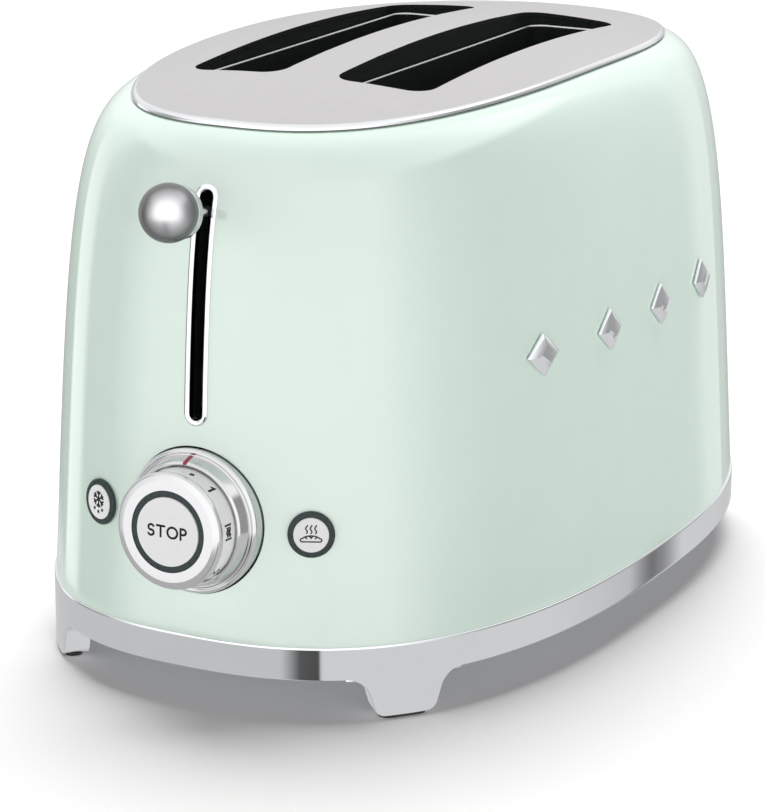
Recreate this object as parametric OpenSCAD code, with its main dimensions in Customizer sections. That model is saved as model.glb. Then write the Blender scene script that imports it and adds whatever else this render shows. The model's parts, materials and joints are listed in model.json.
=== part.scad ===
// Two-slot pop-up toaster. Millimetres, +Z up, front of the body towards -Y.
// Shapes are laid out around the body's own centre, then placed() moves them so that
// the origin is the bottom centre of the whole toaster's box, at floor level.

/* [Body] */
// Length of the body, front to back
body_length = 310; // [304:1:318]
// Width of the body
body_width = 196; // [192:1:204]
// Height of the top panel's crown above the floor
body_height = 198; // [196:0.5:202]
// Squareness of the body's outline, where 2 is an ellipse
outline_power = 2.52; // [2.4:0.02:2.7]
// Thickness of the shell's sheet
shell_wall = 1.2; // [1:0.1:1.5]
// How far the walls lean in over the whole height
side_taper = 7.6; // [6:0.2:9]
// How far in the shell's top opening lies from the widest outline
crown_inset = 40; // [39:0.5:41]
// Squareness of the shoulder's curve in elevation
shoulder_power = 4.6; // [4:0.1:5]

/* [Base] */
// Height of the base ring's top edge
ring_top = 25.5; // [24.5:0.5:27]
// Height of the base ring's lower edge between the feet
ring_low = 14.4; // [13.8:0.2:14.8]
// How far the base ring stands proud of the shell
ring_proud = 0.6; // [0.4:0.1:1]
// Half width of a foot's flat sole
foot_flat = 7.2; // [6:0.4:8]
// Depth of a foot, measured in from the ring's face
foot_depth = 9; // [8:0.5:11]
// Place of the feet, as an angle on the base outline
foot_turn = 52; // [48:1:56]
// Thickness of a rubber foot pad
pad_height = 1.2; // [1:0.1:1.6]

/* [Bread slots] */
// Distance of a slot's middle from the body's middle
slot_middle = 27.6; // [27:0.2:28.4]
// Width of a bread slot
slot_width = 35; // [33:0.5:35.5]
// Length of a bread slot
slot_length = 150; // [146:1:151]
// Depth from the panel's lowest slot edge to the liner's rim
liner_drop = 5; // [4:0.5:7]

/* [Lever] */
// Distance of the lever's slot, the dial and the buttons from the body's middle, towards +X
front_shift = 3; // [2:0.2:3.4]
// Downward travel of the carriage
lever_travel = 65; // [60:1:66]
// Diameter of the lever's ball
ball_size = 18.8; // [17:0.2:20]
// Reach of the ball's middle from the body's middle
ball_reach = 165.4; // [164.4:0.5:166.9]
// Height of the ball's middle with the carriage up
ball_height = 167.1; // [166.5:0.2:168.5]
// Upward tilt of the lever's stem
stem_tilt = 10; // [9:0.5:11]

/* [Controls] */
// Height of the dial's middle
dial_height = 64; // [63:0.5:66]
// Height of the two side buttons
button_height = 63; // [62:0.5:65]
// Radius of the dial's chrome bezel
bezel_radius = 23.9; // [23.8:0.1:24.4]
// Radius of the dial's knob
knob_radius = 19.2; // [19:0.1:19.5]
// Distance of each side button from the middle
button_offset = 38.5; // [37.5:0.5:39.5]
// Travel of each push button
button_travel = 2; // [1.5:0.1:2]

/* [Crumb tray] */
// Width of the crumb tray
tray_width = 100; // [94:1:100]

/* [Hidden] */

half_width = body_width / 2;
half_length = body_length / 2;
around = 64;
small_gap = 0.05;

// Top panel: half axes of its edge, fall of its dome from crown to edge, sheet thickness
panel_half = [71.6, 128];
panel_fall = [5.1, 9.2];
panel_bevel = 1.3;
panel_sheet = 1.5;
crown_power = 2.43;

// Base ring section and base plate
ring_wall = 2;
base_plate_z = 14.6;
base_plate_sheet = 1.4;
inner_floor = base_plate_z + base_plate_sheet;

// Chassis: two upright plates and the sheets between them
chassis_y = 95;
chassis_sheet = 1.2;
chassis_half_width = 60;
chassis_top = 178;
shield_x = 58;
shield_sheet = 0.8;
board_sheet = 1;
board_gap = 20.5;
board_low = 42;
board_top = 172;

// Carriage, its rod and its spring
rod_y = -112;
rod_radius = 3;
running_gap = 0.05;
sleeve_radius = 5.6;
sleeve_low = 128;
sleeve_height = 32;
bracket_y = -104;
bracket_sheet = 1.5;
bracket_half_width = 34;
rack_z = 102;
rack_height = 4;
rack_half_width = 8;
stem_radius = 1.7;
cup_radius = ball_size / 2 - 0.7;
cup_back = -ball_size / 2 + 2.2;
cup_floor = cup_back + 2.2;
cup_rim = cup_floor + 1.1;
guide_offset = 15.5;
guide_low = 44;
guide_top = 168;
rail_radius = 1.1;
wire_radius = 0.8;

// Lever slot in the shell's front
slot_low = 96.7;
slot_high = 169.9;
slot_half_width = 2.35;
slot_frame = 1.85;

// Cord entry at the rear
gland_height = 44;
gland_bore = 3.6;
gland_hole = 6.6;
gland_flange = 2.2;
gland_y = half_length - shell_inset((gland_height - ring_top) / (crown_z(half_length) - ring_top));

// Moves the body so that the box from the lever's ball to the cord gland is centred
body_shift = (ball_reach + ball_size / 2 - gland_y - gland_flange) / 2;

// Dial stack: distances out from the shell's front at the dial
dial_front = half_length - shell_inset((dial_height - ring_top) / (crown_z(half_length)
    - ring_top));
front_lean = atan(side_taper / (crown_z(half_length) - ring_top));
shaft_radius = 4;
face_radius = 13.4;
skirt_radius = 18.9;
skirt_high = 13.9;
stop_radius = 11.3;
stem_bore = 2.1;
board_y = -132;
board_low_z = 34;
board_high_z = 92;
board_sheet_y = 1.6;
board_back = board_y + board_sheet_y;
board_screws = [for (x = [-46, 46], z = [38, 88]) [x, z]];
screw_hole = 1.7;
button_radius = 5.7;
button_ring_radius = 7.6;
button_hole = 6.6;
switch_face = -11;
stop_switch = 1.4;
stop_gap = 0.4;

// Magnet beside the guide rod
magnet_x = 24;
magnet_half = [8, 6.5];
magnet_top = 59.9;

// Crumb tray
tray_floor = 17;
tray_sheet = 0.8;
tray_lip = 5.5;
tray_front = -90;
tray_rear = 8;
tray_handle_low = 16.3;
tray_handle_high = 23;

MINT = [0.80, 0.88, 0.83];
STEEL = [0.80, 0.79, 0.79];
CHROME = [0.86, 0.87, 0.89];
ZINC = [0.66, 0.68, 0.70];
DARK = [0.22, 0.26, 0.26];
BLACK = [0.09, 0.10, 0.10];
LIGHT = [0.90, 0.90, 0.91];

// ---- Geometry helpers ----

function lerp(a, b, f) = a + (b - a) * f;
function signed_power(v, p) = sign(v) * pow(abs(v), p);

// Point at the angle t on a superellipse with these half axes
function outline_point(half, power, t) =
    [half.x * signed_power(cos(t), 2 / power), half.y * signed_power(sin(t), 2 / power)];

// The body's base outline, moved in by inset
function base_outline(inset, count) =
    [for (i = [0 : count - 1])
        outline_point([half_width - inset, half_length - inset], outline_power, 360 * i / count)];

// Direction of the outline's outward normal at the point p, as an angle
function normal_angle(p, half, power) =
    atan2(signed_power(p.y / half.y, power - 1) / half.y,
          signed_power(p.x / half.x, power - 1) / half.x);

// Height of the top panel's upper face
function panel_z(x, y) = body_height - panel_fall.x * pow(x / panel_half.x, 2)
    - panel_fall.y * pow(y / panel_half.y, 2);

// Height of the shell's crown, just under the panel's edge
function crown_z(y) = body_height - panel_fall.x - panel_bevel
    - (panel_fall.y - panel_fall.x) * pow(y / panel_half.y, 2);

// How much lower the crown lies at the outline's corners, to keep under the panel's dome
function corner_fall(t) = panel_fall.x
    * (pow(abs(cos(t)), 4 / crown_power) + pow(abs(sin(t)), 4 / crown_power) - 1);

// How far the shell's wall has come in at the fraction u of its height
function shell_inset(u) = side_taper * u + (crown_inset - side_taper)
    * (1 - pow(1 - pow(u, shoulder_power), 1 / shoulder_power));

// One ring of the shell's skin; depth 0 is the outer face and 1 the inner face
function shell_ring(u, depth) =
    let (lean = pow(u, 6),
         inset = shell_inset(u) + depth * shell_wall * (1 - lean),
         half = [half_width - inset, half_length - inset],
         power = lerp(outline_power, crown_power, u))
    [for (i = [0 : around - 1])
        let (t = 360 * i / around, p = outline_point(half, power, t))
        [p.x, p.y, lerp(ring_top, crown_z(p.y) - corner_fall(t) - depth * shell_wall * lean, u)]];

// Heights of the shell's rings, crowded towards the shoulder
function shell_steps(count) = [for (i = [0 : count]) 1 - pow(1 - i / count, 2.5)];

// Outward reach of the front face on the centre line, as [y, z] points, moved out by proud
function front_profile(proud) =
    [for (u = shell_steps(12)) if (u > 0.3 && u < 0.97)
        let (reach = half_length - shell_inset(u))
        [-reach - proud, lerp(ring_top, crown_z(reach), u)]];

// Half axes of the shell at the height z, where its crown is at the height crown
function shell_half(z, crown) = let (inset = shell_inset((z - ring_top) / (crown - ring_top)))
    [half_width - inset, half_length - inset];
function shell_power(z) = lerp(outline_power, crown_power, (z - ring_top) / (body_height - ring_top));

// Other coordinate of the outline where the first one is known
function outline_other(v, half_v, half_other, power) =
    half_other * pow(1 - pow(abs(v) / half_v, power), 1 / power);

// Outline of a rectangle with round corners, as straight facets
function round_rect(size, radius, steps = 6) =
    [for (corner = [0 : 3], i = [0 : steps])
        let (a = 90 * corner + 90 * i / steps,
             sx = (corner == 0 || corner == 3) ? 1 : -1,
             sy = (corner < 2) ? 1 : -1)
        [sx * (size.x / 2 - radius) + radius * cos(a), sy * (size.y / 2 - radius) + radius * sin(a)]];

// Moves a shape from the body's own centre to the toaster's frame
module placed() { translate([0, body_shift, 0]) children(); }

// Closed skin through a loop of rings that all have the same number of points
module ring_loop(rings) {
    count = len(rings[0]);
    loops = len(rings);
    points = [for (ring = rings) each ring];
    faces = [for (i = [0 : loops - 1], j = [0 : count - 1])
        let (k = (i + 1) % loops, l = (j + 1) % count)
        each [[i * count + j, k * count + j, i * count + l],
              [i * count + l, k * count + j, k * count + l]]];
    polyhedron(points, faces);
}

// Solid through a stack of rings, closed by a point below and a point above
module ring_stack(rings, low_point, high_point) {
    count = len(rings[0]);
    last = (len(rings) - 1) * count;
    points = [for (ring = rings) each ring, low_point, high_point];
    low = len(rings) * count;
    sides = [for (i = [0 : len(rings) - 2], j = [0 : count - 1])
        let (l = (j + 1) % count)
        each [[i * count + j, (i + 1) * count + j, i * count + l],
              [i * count + l, (i + 1) * count + j, (i + 1) * count + l]]];
    caps = [for (j = [0 : count - 1]) let (l = (j + 1) % count)
        each [[low, j, l], [low + 1, last + l, last + j]]];
    polyhedron(points, concat(sides, caps));
}

// Extrudes an outline drawn in [x, z] along Y, from y = near to y = far
module along_y(near, far) {
    translate([0, far, 0]) rotate([90, 0, 0]) linear_extrude(far - near) children();
}

// Extrudes an outline drawn in [y, z] along X, over the half width on both sides
module along_x(half) {
    rotate([90, 0, 90]) translate([0, 0, -half]) linear_extrude(2 * half) children();
}

// Turns a shape drawn along +Z so that it points out of the front at the dial
module at_dial() {
    translate([front_shift, -dial_front, dial_height]) rotate([90 - front_lean, 0, 0]) children();
}

// The same for a side button; side is -1 for the left one and 1 for the right one
module at_button(side) {
    half = shell_half(button_height, crown_z(half_length));
    power = shell_power(button_height);
    x = front_shift + side * button_offset;
    y = -outline_other(x, half.x, half.y, power);
    turn = normal_angle([x, y], half, power) + 90;
    translate([x, y, button_height]) rotate([90 - front_lean, 0, turn]) children();
}

module tube(outer, inner, low, high) {
    translate([0, 0, low]) difference() {
        cylinder(r = outer, h = high - low, $fn = 64);
        translate([0, 0, -1]) cylinder(r = inner, h = high - low + 2, $fn = 64);
    }
}

// Repeats a shape at the four feet, turned so that +X points out of the body
module at_feet() {
    for (sx = [-1, 1], sy = [-1, 1]) at_foot(sx, sy) children();
}

module at_foot(sx, sy) {
    half = [half_width + ring_proud, half_length + ring_proud];
    p = outline_point(half, outline_power, foot_turn);
    turn = normal_angle(p, half, outline_power);
    translate([sx * p.x, sy * p.y, 0]) rotate([0, 0, sx > 0 ? sy * turn : 180 - sy * turn])
        children();
}

// ---- Outer shell ----

module shell_skin() {
    ring_loop(concat([for (u = shell_steps(12)) shell_ring(u, 0)],
                     [for (i = [7 : -1 : 0]) shell_ring(shell_steps(7)[i], 1)]));
}

module lever_slot_prism(border) {
    along_y(-half_length - 10, -half_length + 40)
        translate([front_shift, (slot_low + slot_high) / 2])
            polygon(round_rect([2 * (slot_half_width + border), slot_high - slot_low + 2 * border],
                slot_half_width + border - 0.01));
}

module body_shell() {
    placed() color(MINT) difference() {
        shell_skin();
        lever_slot_prism(0.35);
        at_dial() translate([0, 0, -12]) cylinder(r = bezel_radius + 0.1, h = 20, $fn = 96);
        for (side = [-1, 1]) at_button(side)
            translate([0, 0, -9]) cylinder(r = button_hole, h = 16, $fn = 64);
        at_gland() translate([0, 0, -20]) cylinder(r = gland_hole, h = 30, $fn = 64);
    }
}

module panel_skin() {
    top_scales = [1 - panel_bevel / panel_half.x, 0.9, 0.68, 0.36];
    low_scales = [0.36, 0.68, 0.9, 0.97];
    panel_ring = function (scale_by, drop)
        [for (i = [0 : around - 1])
            let (p = outline_point(panel_half * scale_by, crown_power, 360 * i / around))
            [p.x, p.y, panel_z(p.x, p.y) - drop]];
    rings = concat([for (s = low_scales) panel_ring(s, panel_sheet)],
                   [panel_ring(1, panel_bevel)],
                   [for (s = top_scales) panel_ring(s, 0)]);
    ring_stack(rings, [0, 0, body_height - panel_sheet], [0, 0, body_height]);
}

module slot_prism(grow, low, high) {
    translate([0, 0, low]) linear_extrude(high - low)
        polygon(round_rect([slot_width + 2 * grow, slot_length + 2 * grow], 7.5 + grow));
}

module top_panel() {
    placed() color(STEEL) difference() {
        panel_skin();
        for (side = [-1, 1]) translate([side * slot_middle, 0, 0]) slot_prism(0, 180, 205);
    }
}

// ---- Base ----

// Elevation of one foot, from its sole up into the ring: [distance along the ring, z]
module foot_outline() {
    corner = 4;
    fillet = 8;
    lean = 18;
    side = [foot_flat + corner * cos(lean), pad_height + corner * (1 - sin(lean))];
    fillet_z = ring_low - fillet;
    fillet_x = side.x + (fillet + (fillet_z - side.y) * sin(lean)) / cos(lean);
    half = concat(
        [for (i = [0 : 6]) let (a = lerp(-90, -lean, i / 6))
            [foot_flat + corner * cos(a), pad_height + corner * (1 + sin(a))]],
        [for (i = [0 : 6]) let (a = lerp(180 - lean, 90, i / 6))
            [fillet_x + fillet * cos(a), fillet_z + fillet * sin(a)]],
        [[fillet_x, base_plate_z]]);
    mirrored = [for (i = [len(half) - 1 : -1 : 0]) [-half[i].x, half[i].y]];
    polygon(concat(half, mirrored));
}

module outline_band(outer_inset, inner_inset, low, high) {
    translate([0, 0, low]) linear_extrude(high - low) difference() {
        polygon(base_outline(outer_inset, 96));
        polygon(base_outline(inner_inset, 96));
    }
}

module tray_notch(margin) {
    translate([-tray_width / 2 - margin, 100, inner_floor])
        cube([tray_width + 2 * margin, 80, tray_handle_high + 0.4 - inner_floor]);
}

module base_ring() {
    placed() color(CHROME) {
        difference() {
            outline_band(-ring_proud, ring_wall - ring_proud, ring_low, ring_top);
            tray_notch(1.2);
        }
        intersection() {
            outline_band(-ring_proud, foot_depth - ring_proud, pad_height, base_plate_z);
            at_feet() rotate([0, 0, 90]) along_y(-20, 20) foot_outline();
        }
    }
}

module base_plate() {
    vent_rows = 7;
    placed() color(ZINC) difference() {
        translate([0, 0, base_plate_z]) linear_extrude(base_plate_sheet)
            polygon(base_outline(ring_wall - ring_proud, 96));
        for (i = [0 : vent_rows - 1], side = [-1, 1])
            translate([side * 30 - 18, -60 + 20 * i - 2, base_plate_z - 1]) cube([36, 4, 4]);
        for (p = screw_spots()) translate([p.x, p.y, base_plate_z - 1])
            cylinder(r = screw_hole, h = 4, $fn = 32);
    }
}

function screw_spots() = [for (sx = [-1, 1], sy = [-1, 1]) [sx * 56, sy * (chassis_y + 5)]];

module base_screws() {
    placed() color(ZINC) for (p = screw_spots()) translate([p.x, p.y, 0]) {
        translate([0, 0, base_plate_z - 1.8]) cylinder(r = 3, h = 1.8, $fn = 32);
        translate([0, 0, base_plate_z - 0.1]) cylinder(r = 1.5, h = 4, $fn = 32);
    }
}

module foot_pad(sx, sy) {
    placed() color(BLACK) at_foot(sx, sy) translate([-foot_depth / 2, 0, 0])
        linear_extrude(pad_height) polygon(round_rect([6, 16], 2.9));
}
module foot_pad_front_left() { foot_pad(-1, -1); }
module foot_pad_front_right() { foot_pad(1, -1); }
module foot_pad_rear_left() { foot_pad(-1, 1); }
module foot_pad_rear_right() { foot_pad(1, 1); }

// ---- Cord entry at the rear ----

// Points +Z out of the rear face at the cord's entry
module at_gland() { translate([0, gland_y, gland_height]) rotate([-90, 0, 0]) children(); }

module cord_gland() {
    placed() color(BLACK) at_gland() difference() {
        union() {
            translate([0, 0, -10]) cylinder(r = 6.5, h = 10.5, $fn = 64);
            translate([0, 0, 0.4]) cylinder(r = 9, h = gland_flange - 0.4, $fn = 64);
        }
        translate([0, 0, -12]) cylinder(r = gland_bore, h = 20, $fn = 64);
    }
}

module cord_wrap_hooks() {
    placed() color(BLACK) for (side = [-1, 1]) translate([0, side * 62, 0]) {
        translate([-9, -2, 8]) cube([18, 4, base_plate_z - 8]);
        translate([-9, side > 0 ? -2 : -10, 5.5]) cube([18, 12, 2.5]);
    }
}

// ---- Lever slot trim ----

// Strip that follows the front face between two distances from it
module front_strip(outer, inner) {
    along_x(12) polygon(concat(front_profile(outer),
        [for (i = [len(front_profile(0)) - 1 : -1 : 0]) front_profile(inner)[i]]));
}

module lever_slot_bezel() {
    lip = 0.3;
    placed() color(CHROME) difference() {
        union() {
            intersection() { lever_slot_prism(slot_frame); front_strip(0.75, small_gap); }
            intersection() { lever_slot_prism(lip); front_strip(0.75, -shell_wall - 0.6); }
        }
        lever_slot_prism(0);
    }
}

module lever_slot_channel() {
    placed() color(BLACK) difference() {
        intersection() {
            lever_slot_prism(3.3);
            front_strip(-shell_wall - 0.9, -shell_wall - 9);
        }
        lever_slot_prism(1.9);
    }
}

// ---- Dial, buttons and trim ----

// Short bar that lies on the bezel's inner slope, at its top
module index_block() {
    along_x(0.7) polygon([[21.5, 2.2], [22, 2.4], [20.6, 6.3], [19.9, 6.7], [19.6, 6.4], [20.1, 6]]);
}

module dial_bezel() {
    rim = bezel_radius;
    bore = shaft_radius + running_gap;
    placed() color(CHROME) at_dial() difference() {
        rotate_extrude($fn = 96) polygon([[bore, -3], [rim - 1.5, -3], [rim - 1.5, -5], [rim, -5],
            [rim, 1.3], [rim - 0.4, 2.1], [rim - 1.2, 2.4], [rim - 1.8, 2.1], [21.8, 2.2], [20.4, 6.1],
            [19.9, 6.5], [skirt_radius + 0.4, 6.5], [skirt_radius + 0.4, 0.2], [bore, 0.2]]);
        index_block();
    }
}

module index_mark() {
    placed() color([0.70, 0.14, 0.32]) at_dial() index_block();
}

module button_ring(side) {
    placed() color(DARK) at_button(side) {
        tube(6.5, button_radius + running_gap, -5, small_gap);
        translate([0, 0, small_gap]) rotate_extrude($fn = 64) polygon([
            [button_radius + running_gap, 0], [button_ring_radius, 0],
            [button_ring_radius, 0.6], [button_ring_radius - 0.5, 1],
            [button_radius + running_gap, 1]]);
    }
}
module defrost_ring() { button_ring(-1); }
module reheat_ring() { button_ring(1); }

module side_button(side) {
    placed() color(LIGHT) at_button(side) {
        translate([0, 0, -3]) rotate_extrude($fn = 64) polygon([[0, 0], [button_radius, 0],
            [button_radius, 4], [button_radius - 0.3, 4.3], [0, 4.3]]);
        translate([0, 0, switch_face + button_travel])
            cylinder(r = 2, h = -switch_face - button_travel - 2.8, $fn = 32);
    }
}
module defrost_button() { side_button(-1); }
module reheat_button() { side_button(1); }

module dial_skirt() {
    placed() color(LIGHT) at_dial() rotate_extrude($fn = 96)
        polygon([[17.2, 1], [skirt_radius, 1], [skirt_radius - 0.2, skirt_high], [17.2, skirt_high]]);
}

module dial_knob() {
    r = knob_radius;
    placed() color(CHROME) at_dial() rotate_extrude($fn = 96) polygon([
        [face_radius, skirt_high], [r - 0.2, skirt_high], [r, 14.3], [r, 14.9], [r - 0.4, 15.7],
        [r - 1.4, 16.2], [r - 2.8, 16.4], [face_radius, 16.5]]);
}

module dial_face_ring() {
    placed() color(DARK) at_dial() tube(face_radius, stop_radius + 0.1, 6, 16.3);
}

module dial_shaft() {
    placed() color(BLACK) at_dial() {
        tube(shaft_radius, stem_bore, -17.5, 4.1);
        tube(17.2, stem_bore, 4, 6);
    }
}

module stop_button() {
    stem_low = button_travel + stop_gap + stop_switch - dial_front - board_y;
    placed() color(LIGHT) at_dial() {
        translate([0, 0, 9.7]) rotate_extrude($fn = 96) polygon([[0, 0], [stop_radius, 0],
            [stop_radius, 6.6], [stop_radius - 0.4, 7], [0, 7]]);
        translate([0, 0, stem_low])
            cylinder(r = stem_bore - running_gap, h = 9.8 - stem_low, $fn = 32);
    }
}

trim_height = 110.5;
trim_pitch = 39.5;
trim_middle = -14;

module trim_studs() {
    half = shell_half(trim_height, crown_z(0));
    power = shell_power(trim_height);
    lean = atan(side_taper / (crown_z(0) - ring_top)) + 1.6;
    placed() color(CHROME) for (i = [-1.5 : 1 : 1.5]) {
        y = trim_middle + i * trim_pitch;
        x = outline_other(y, half.y, half.x, power);
        translate([x, y, trim_height]) rotate([0, 90 - lean, normal_angle([x, y], half, power)])
            translate([0, 0, 0.1]) scale([0.9, 1, 1]) {
                cylinder(r = 8, h = 1, $fn = 4);
                translate([0, 0, 1]) cylinder(r1 = 8, r2 = 4.5, h = 1.5, $fn = 4);
            }
    }
}

// ---- Bread slots ----

// The space under the top panel's sheet
module under_panel() {
    ring = function (scale_by) [for (i = [0 : 47])
        let (p = outline_point(panel_half * scale_by, crown_power, 360 * i / 48))
        [p.x, p.y, panel_z(p.x, p.y) - panel_sheet - 0.15]];
    edge = ring(0.95);
    ring_stack(concat([[for (p = edge) [p.x, p.y, 160]], edge],
        [for (s = [0.8, 0.6, 0.4, 0.2]) ring(s)]),
        [0, 0, 160], [0, 0, body_height - panel_sheet - 0.15]);
}

module slot_liner(side) {
    skirt_low = panel_z(slot_middle, slot_length / 2) - liner_drop - 1;
    throat = -1.7;
    placed() color(BLACK) {
        difference() {
            intersection() {
                translate([side * slot_middle, 0, 0]) slot_prism(1.2, skirt_low, 200);
                under_panel();
            }
            translate([side * slot_middle, 0, 0]) slot_prism(0.2, skirt_low + 1, 205);
            translate([side * slot_middle, 0, 0]) slot_prism(throat, skirt_low - 1, 205);
        }
        translate([side * slot_middle, 0, 0]) difference() {
            slot_prism(throat, chassis_top - 4, skirt_low + 2);
            slot_prism(throat - 0.8, chassis_top - 5, skirt_low + 3);
        }
    }
}
module slot_liner_left() { slot_liner(-1); }
module slot_liner_right() { slot_liner(1); }

// ---- Chassis ----

// Slots in a chassis plate that let the bread racks' rails through
module rail_slots() {
    for (side = [-1, 1]) translate([side * slot_middle - 2.6, -3, rack_z - lever_travel - 4])
        cube([5.2, 6, lever_travel + rack_height + 8]);
}

module chassis_plate(tab_side) {
    translate([-chassis_half_width, 0, inner_floor])
        cube([2 * chassis_half_width, chassis_sheet, chassis_top - inner_floor]);
    for (side = [-1, 1]) translate([side * 56 - 4, tab_side > 0 ? 0 : chassis_sheet - 10, inner_floor])
        cube([8, 10, 1.2]);
}

module front_chassis_plate() {
    placed() color(ZINC) translate([0, -chassis_y - chassis_sheet, 0]) difference() {
        chassis_plate(-1);
        rail_slots();
        for (side = [-1, 1]) translate([side * 56, -3.8, inner_floor - 1])
            cylinder(r = screw_hole, h = 4, $fn = 32);
        for (p = board_screws) translate([p.x, -2, p.y]) rotate([-90, 0, 0])
            cylinder(r = screw_hole, h = 6, $fn = 32);
    }
}

module rear_chassis_plate() {
    placed() color(ZINC) translate([0, chassis_y, 0]) difference() {
        chassis_plate(1);
        rail_slots();
        translate([-tray_width / 2 - 1.5, -2, 0]) cube([tray_width + 3, 5, 25]);
        for (side = [-1, 1]) translate([side * 56, 5, inner_floor - 1])
            cylinder(r = screw_hole, h = 4, $fn = 32);
    }
}

module heat_shield(side) {
    placed() color(STEEL) translate([side * shield_x - shield_sheet / 2, -chassis_y, 28])
        cube([shield_sheet, 2 * chassis_y, chassis_top - 32]);
}
module heat_shield_left() { heat_shield(-1); }
module heat_shield_right() { heat_shield(1); }

// A mica board, face to the bread at the distance board_gap from its slot's middle
module mica_board(slot_side, outward) {
    x = slot_side * slot_middle + outward * (board_gap + board_sheet / 2);
    placed() color([0.72, 0.66, 0.52])
        translate([x - board_sheet / 2, -chassis_y + 0.2, board_low])
            cube([board_sheet, 2 * chassis_y - 0.4, board_top - board_low]);
}
module mica_board_left_outer() { mica_board(-1, -1); }
module mica_board_left_inner() { mica_board(-1, 1); }
module mica_board_right_inner() { mica_board(1, -1); }
module mica_board_right_outer() { mica_board(1, 1); }

module heating_ribbons() {
    rows = 9;
    ribbon = [0.3, 150, 1.6];
    placed() color([0.45, 0.40, 0.36]) for (slot_side = [-1, 1], outward = [-1, 1], i = [0 : rows - 1])
        translate([slot_side * slot_middle + outward * (board_gap - ribbon.x / 2) - ribbon.x / 2,
            -ribbon.y / 2, lerp(board_low + 6, board_top - 8, i / (rows - 1))])
            cube(ribbon);
}

// ---- Carriage and what guides it ----

module guide_rod() {
    placed() color(STEEL) translate([0, rod_y, inner_floor]) {
        cylinder(r = rod_radius, h = 166, $fn = 64);
        cylinder(r = 6.5, h = 8, $fn = 64);
        translate([-6, 0, 160]) cube([12, -rod_y - chassis_y - chassis_sheet, 3]);
    }
}

module lift_spring() {
    turns = 11;
    coil_radius = 4.4;
    wire = 0.6;
    low = inner_floor + 8.1;
    height = sleeve_low - low - 0.1;
    placed() color(ZINC) translate([0, rod_y, low]) for (i = [0 : turns])
        translate([0, 0, wire + i * (height - 2 * wire) / turns])
            rotate_extrude($fn = 48) translate([coil_radius, 0]) circle(r = wire, $fn = 16);
}

module carriage_bracket() {
    plate_low = rack_z - 4;
    shelf_y = rod_y - 8;
    placed() color(ZINC) {
        difference() {
            union() {
                translate([0, rod_y, sleeve_low])
                    cylinder(r = sleeve_radius, h = sleeve_height, $fn = 64);
                translate([-4, rod_y, sleeve_low]) cube([8, bracket_y - rod_y + 0.5, sleeve_height]);
            }
            translate([0, rod_y, sleeve_low - 1])
                cylinder(r = rod_radius + running_gap, h = sleeve_height + 2, $fn = 64);
        }
        translate([-bracket_half_width, bracket_y, plate_low])
            cube([2 * bracket_half_width, bracket_sheet, sleeve_low + sleeve_height - plate_low]);
        translate([14, shelf_y, sleeve_low]) cube([20, bracket_y - shelf_y + 0.5, 1.5]);
        translate([-bracket_half_width, shelf_y, 118]) cube([10, bracket_y - shelf_y + 0.5, 1.5]);
    }
}

// Points +Z outwards along the lever's stem, from the ball's middle
module at_ball() {
    translate([front_shift, -ball_reach, ball_height]) rotate([90 - stem_tilt, 0, 0]) children();
}

stem_end = (ball_reach + rod_y) / cos(stem_tilt);

module lever_stem() {
    grip = 5;
    placed() color(STEEL) difference() {
        at_ball() translate([0, 0, -stem_end]) cylinder(r = stem_radius, h = stem_end - grip, $fn = 32);
        translate([0, rod_y, 100]) cylinder(r = sleeve_radius + 0.01, h = 90, $fn = 64);
    }
}

// Ball with a flat back, where it sits in its cup
module flat_backed_ball(radius) {
    intersection() {
        sphere(r = radius, $fn = 96);
        translate([-radius, -radius, cup_floor]) cube([2 * radius, 2 * radius, 2 * radius]);
    }
}

module lever_neck() {
    placed() color(CHROME) at_ball() difference() {
        tube(cup_radius, stem_radius, cup_back, cup_rim);
        flat_backed_ball(ball_size / 2 + 0.01);
    }
}

module lever_ball() {
    grip = 5;
    placed() color(CHROME) at_ball() difference() {
        flat_backed_ball(ball_size / 2);
        translate([0, 0, -ball_size]) cylinder(r = stem_radius, h = ball_size - grip, $fn = 32);
    }
}

module keeper_plate() {
    placed() color(STEEL) translate([magnet_x - magnet_half.x, rod_y - magnet_half.y, sleeve_low - 2.6])
        cube([2 * magnet_half.x, 2 * magnet_half.y, 2.6]);
}

module magnet_core() {
    leg = 4.6;
    placed() color(ZINC) translate([magnet_x, rod_y, 0]) {
        translate([-magnet_half.x, -magnet_half.y, 28])
            cube([2 * magnet_half.x, 2 * magnet_half.y, 5]);
        for (x = [-magnet_half.x, magnet_half.x - leg]) translate([x, -magnet_half.y, 33])
            cube([leg, 2 * magnet_half.y, magnet_top - 33]);
        translate([-3, -3, inner_floor]) cube([6, 6, 28 - inner_floor]);
    }
}

module magnet_coil() {
    placed() color([0.72, 0.42, 0.20]) translate([magnet_x, rod_y, 33.2])
        cylinder(r = 3.2, h = 24, $fn = 48);
}

module bread_rack(side) {
    bars = 8;
    placed() color(STEEL) {
        translate([side * slot_middle - 1.5, bracket_y + bracket_sheet, rack_z])
            cube([3, 2 * chassis_y + 14, rack_height]);
        for (i = [0 : bars - 1]) translate([side * slot_middle - rack_half_width,
            lerp(-66, 66, i / (bars - 1)), rack_z + rack_height - 1.2]) rotate([0, 90, 0])
            cylinder(r = 1, h = 2 * rack_half_width, $fn = 24);
    }
}
module bread_rack_left() { bread_rack(-1); }
module bread_rack_right() { bread_rack(1); }

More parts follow.
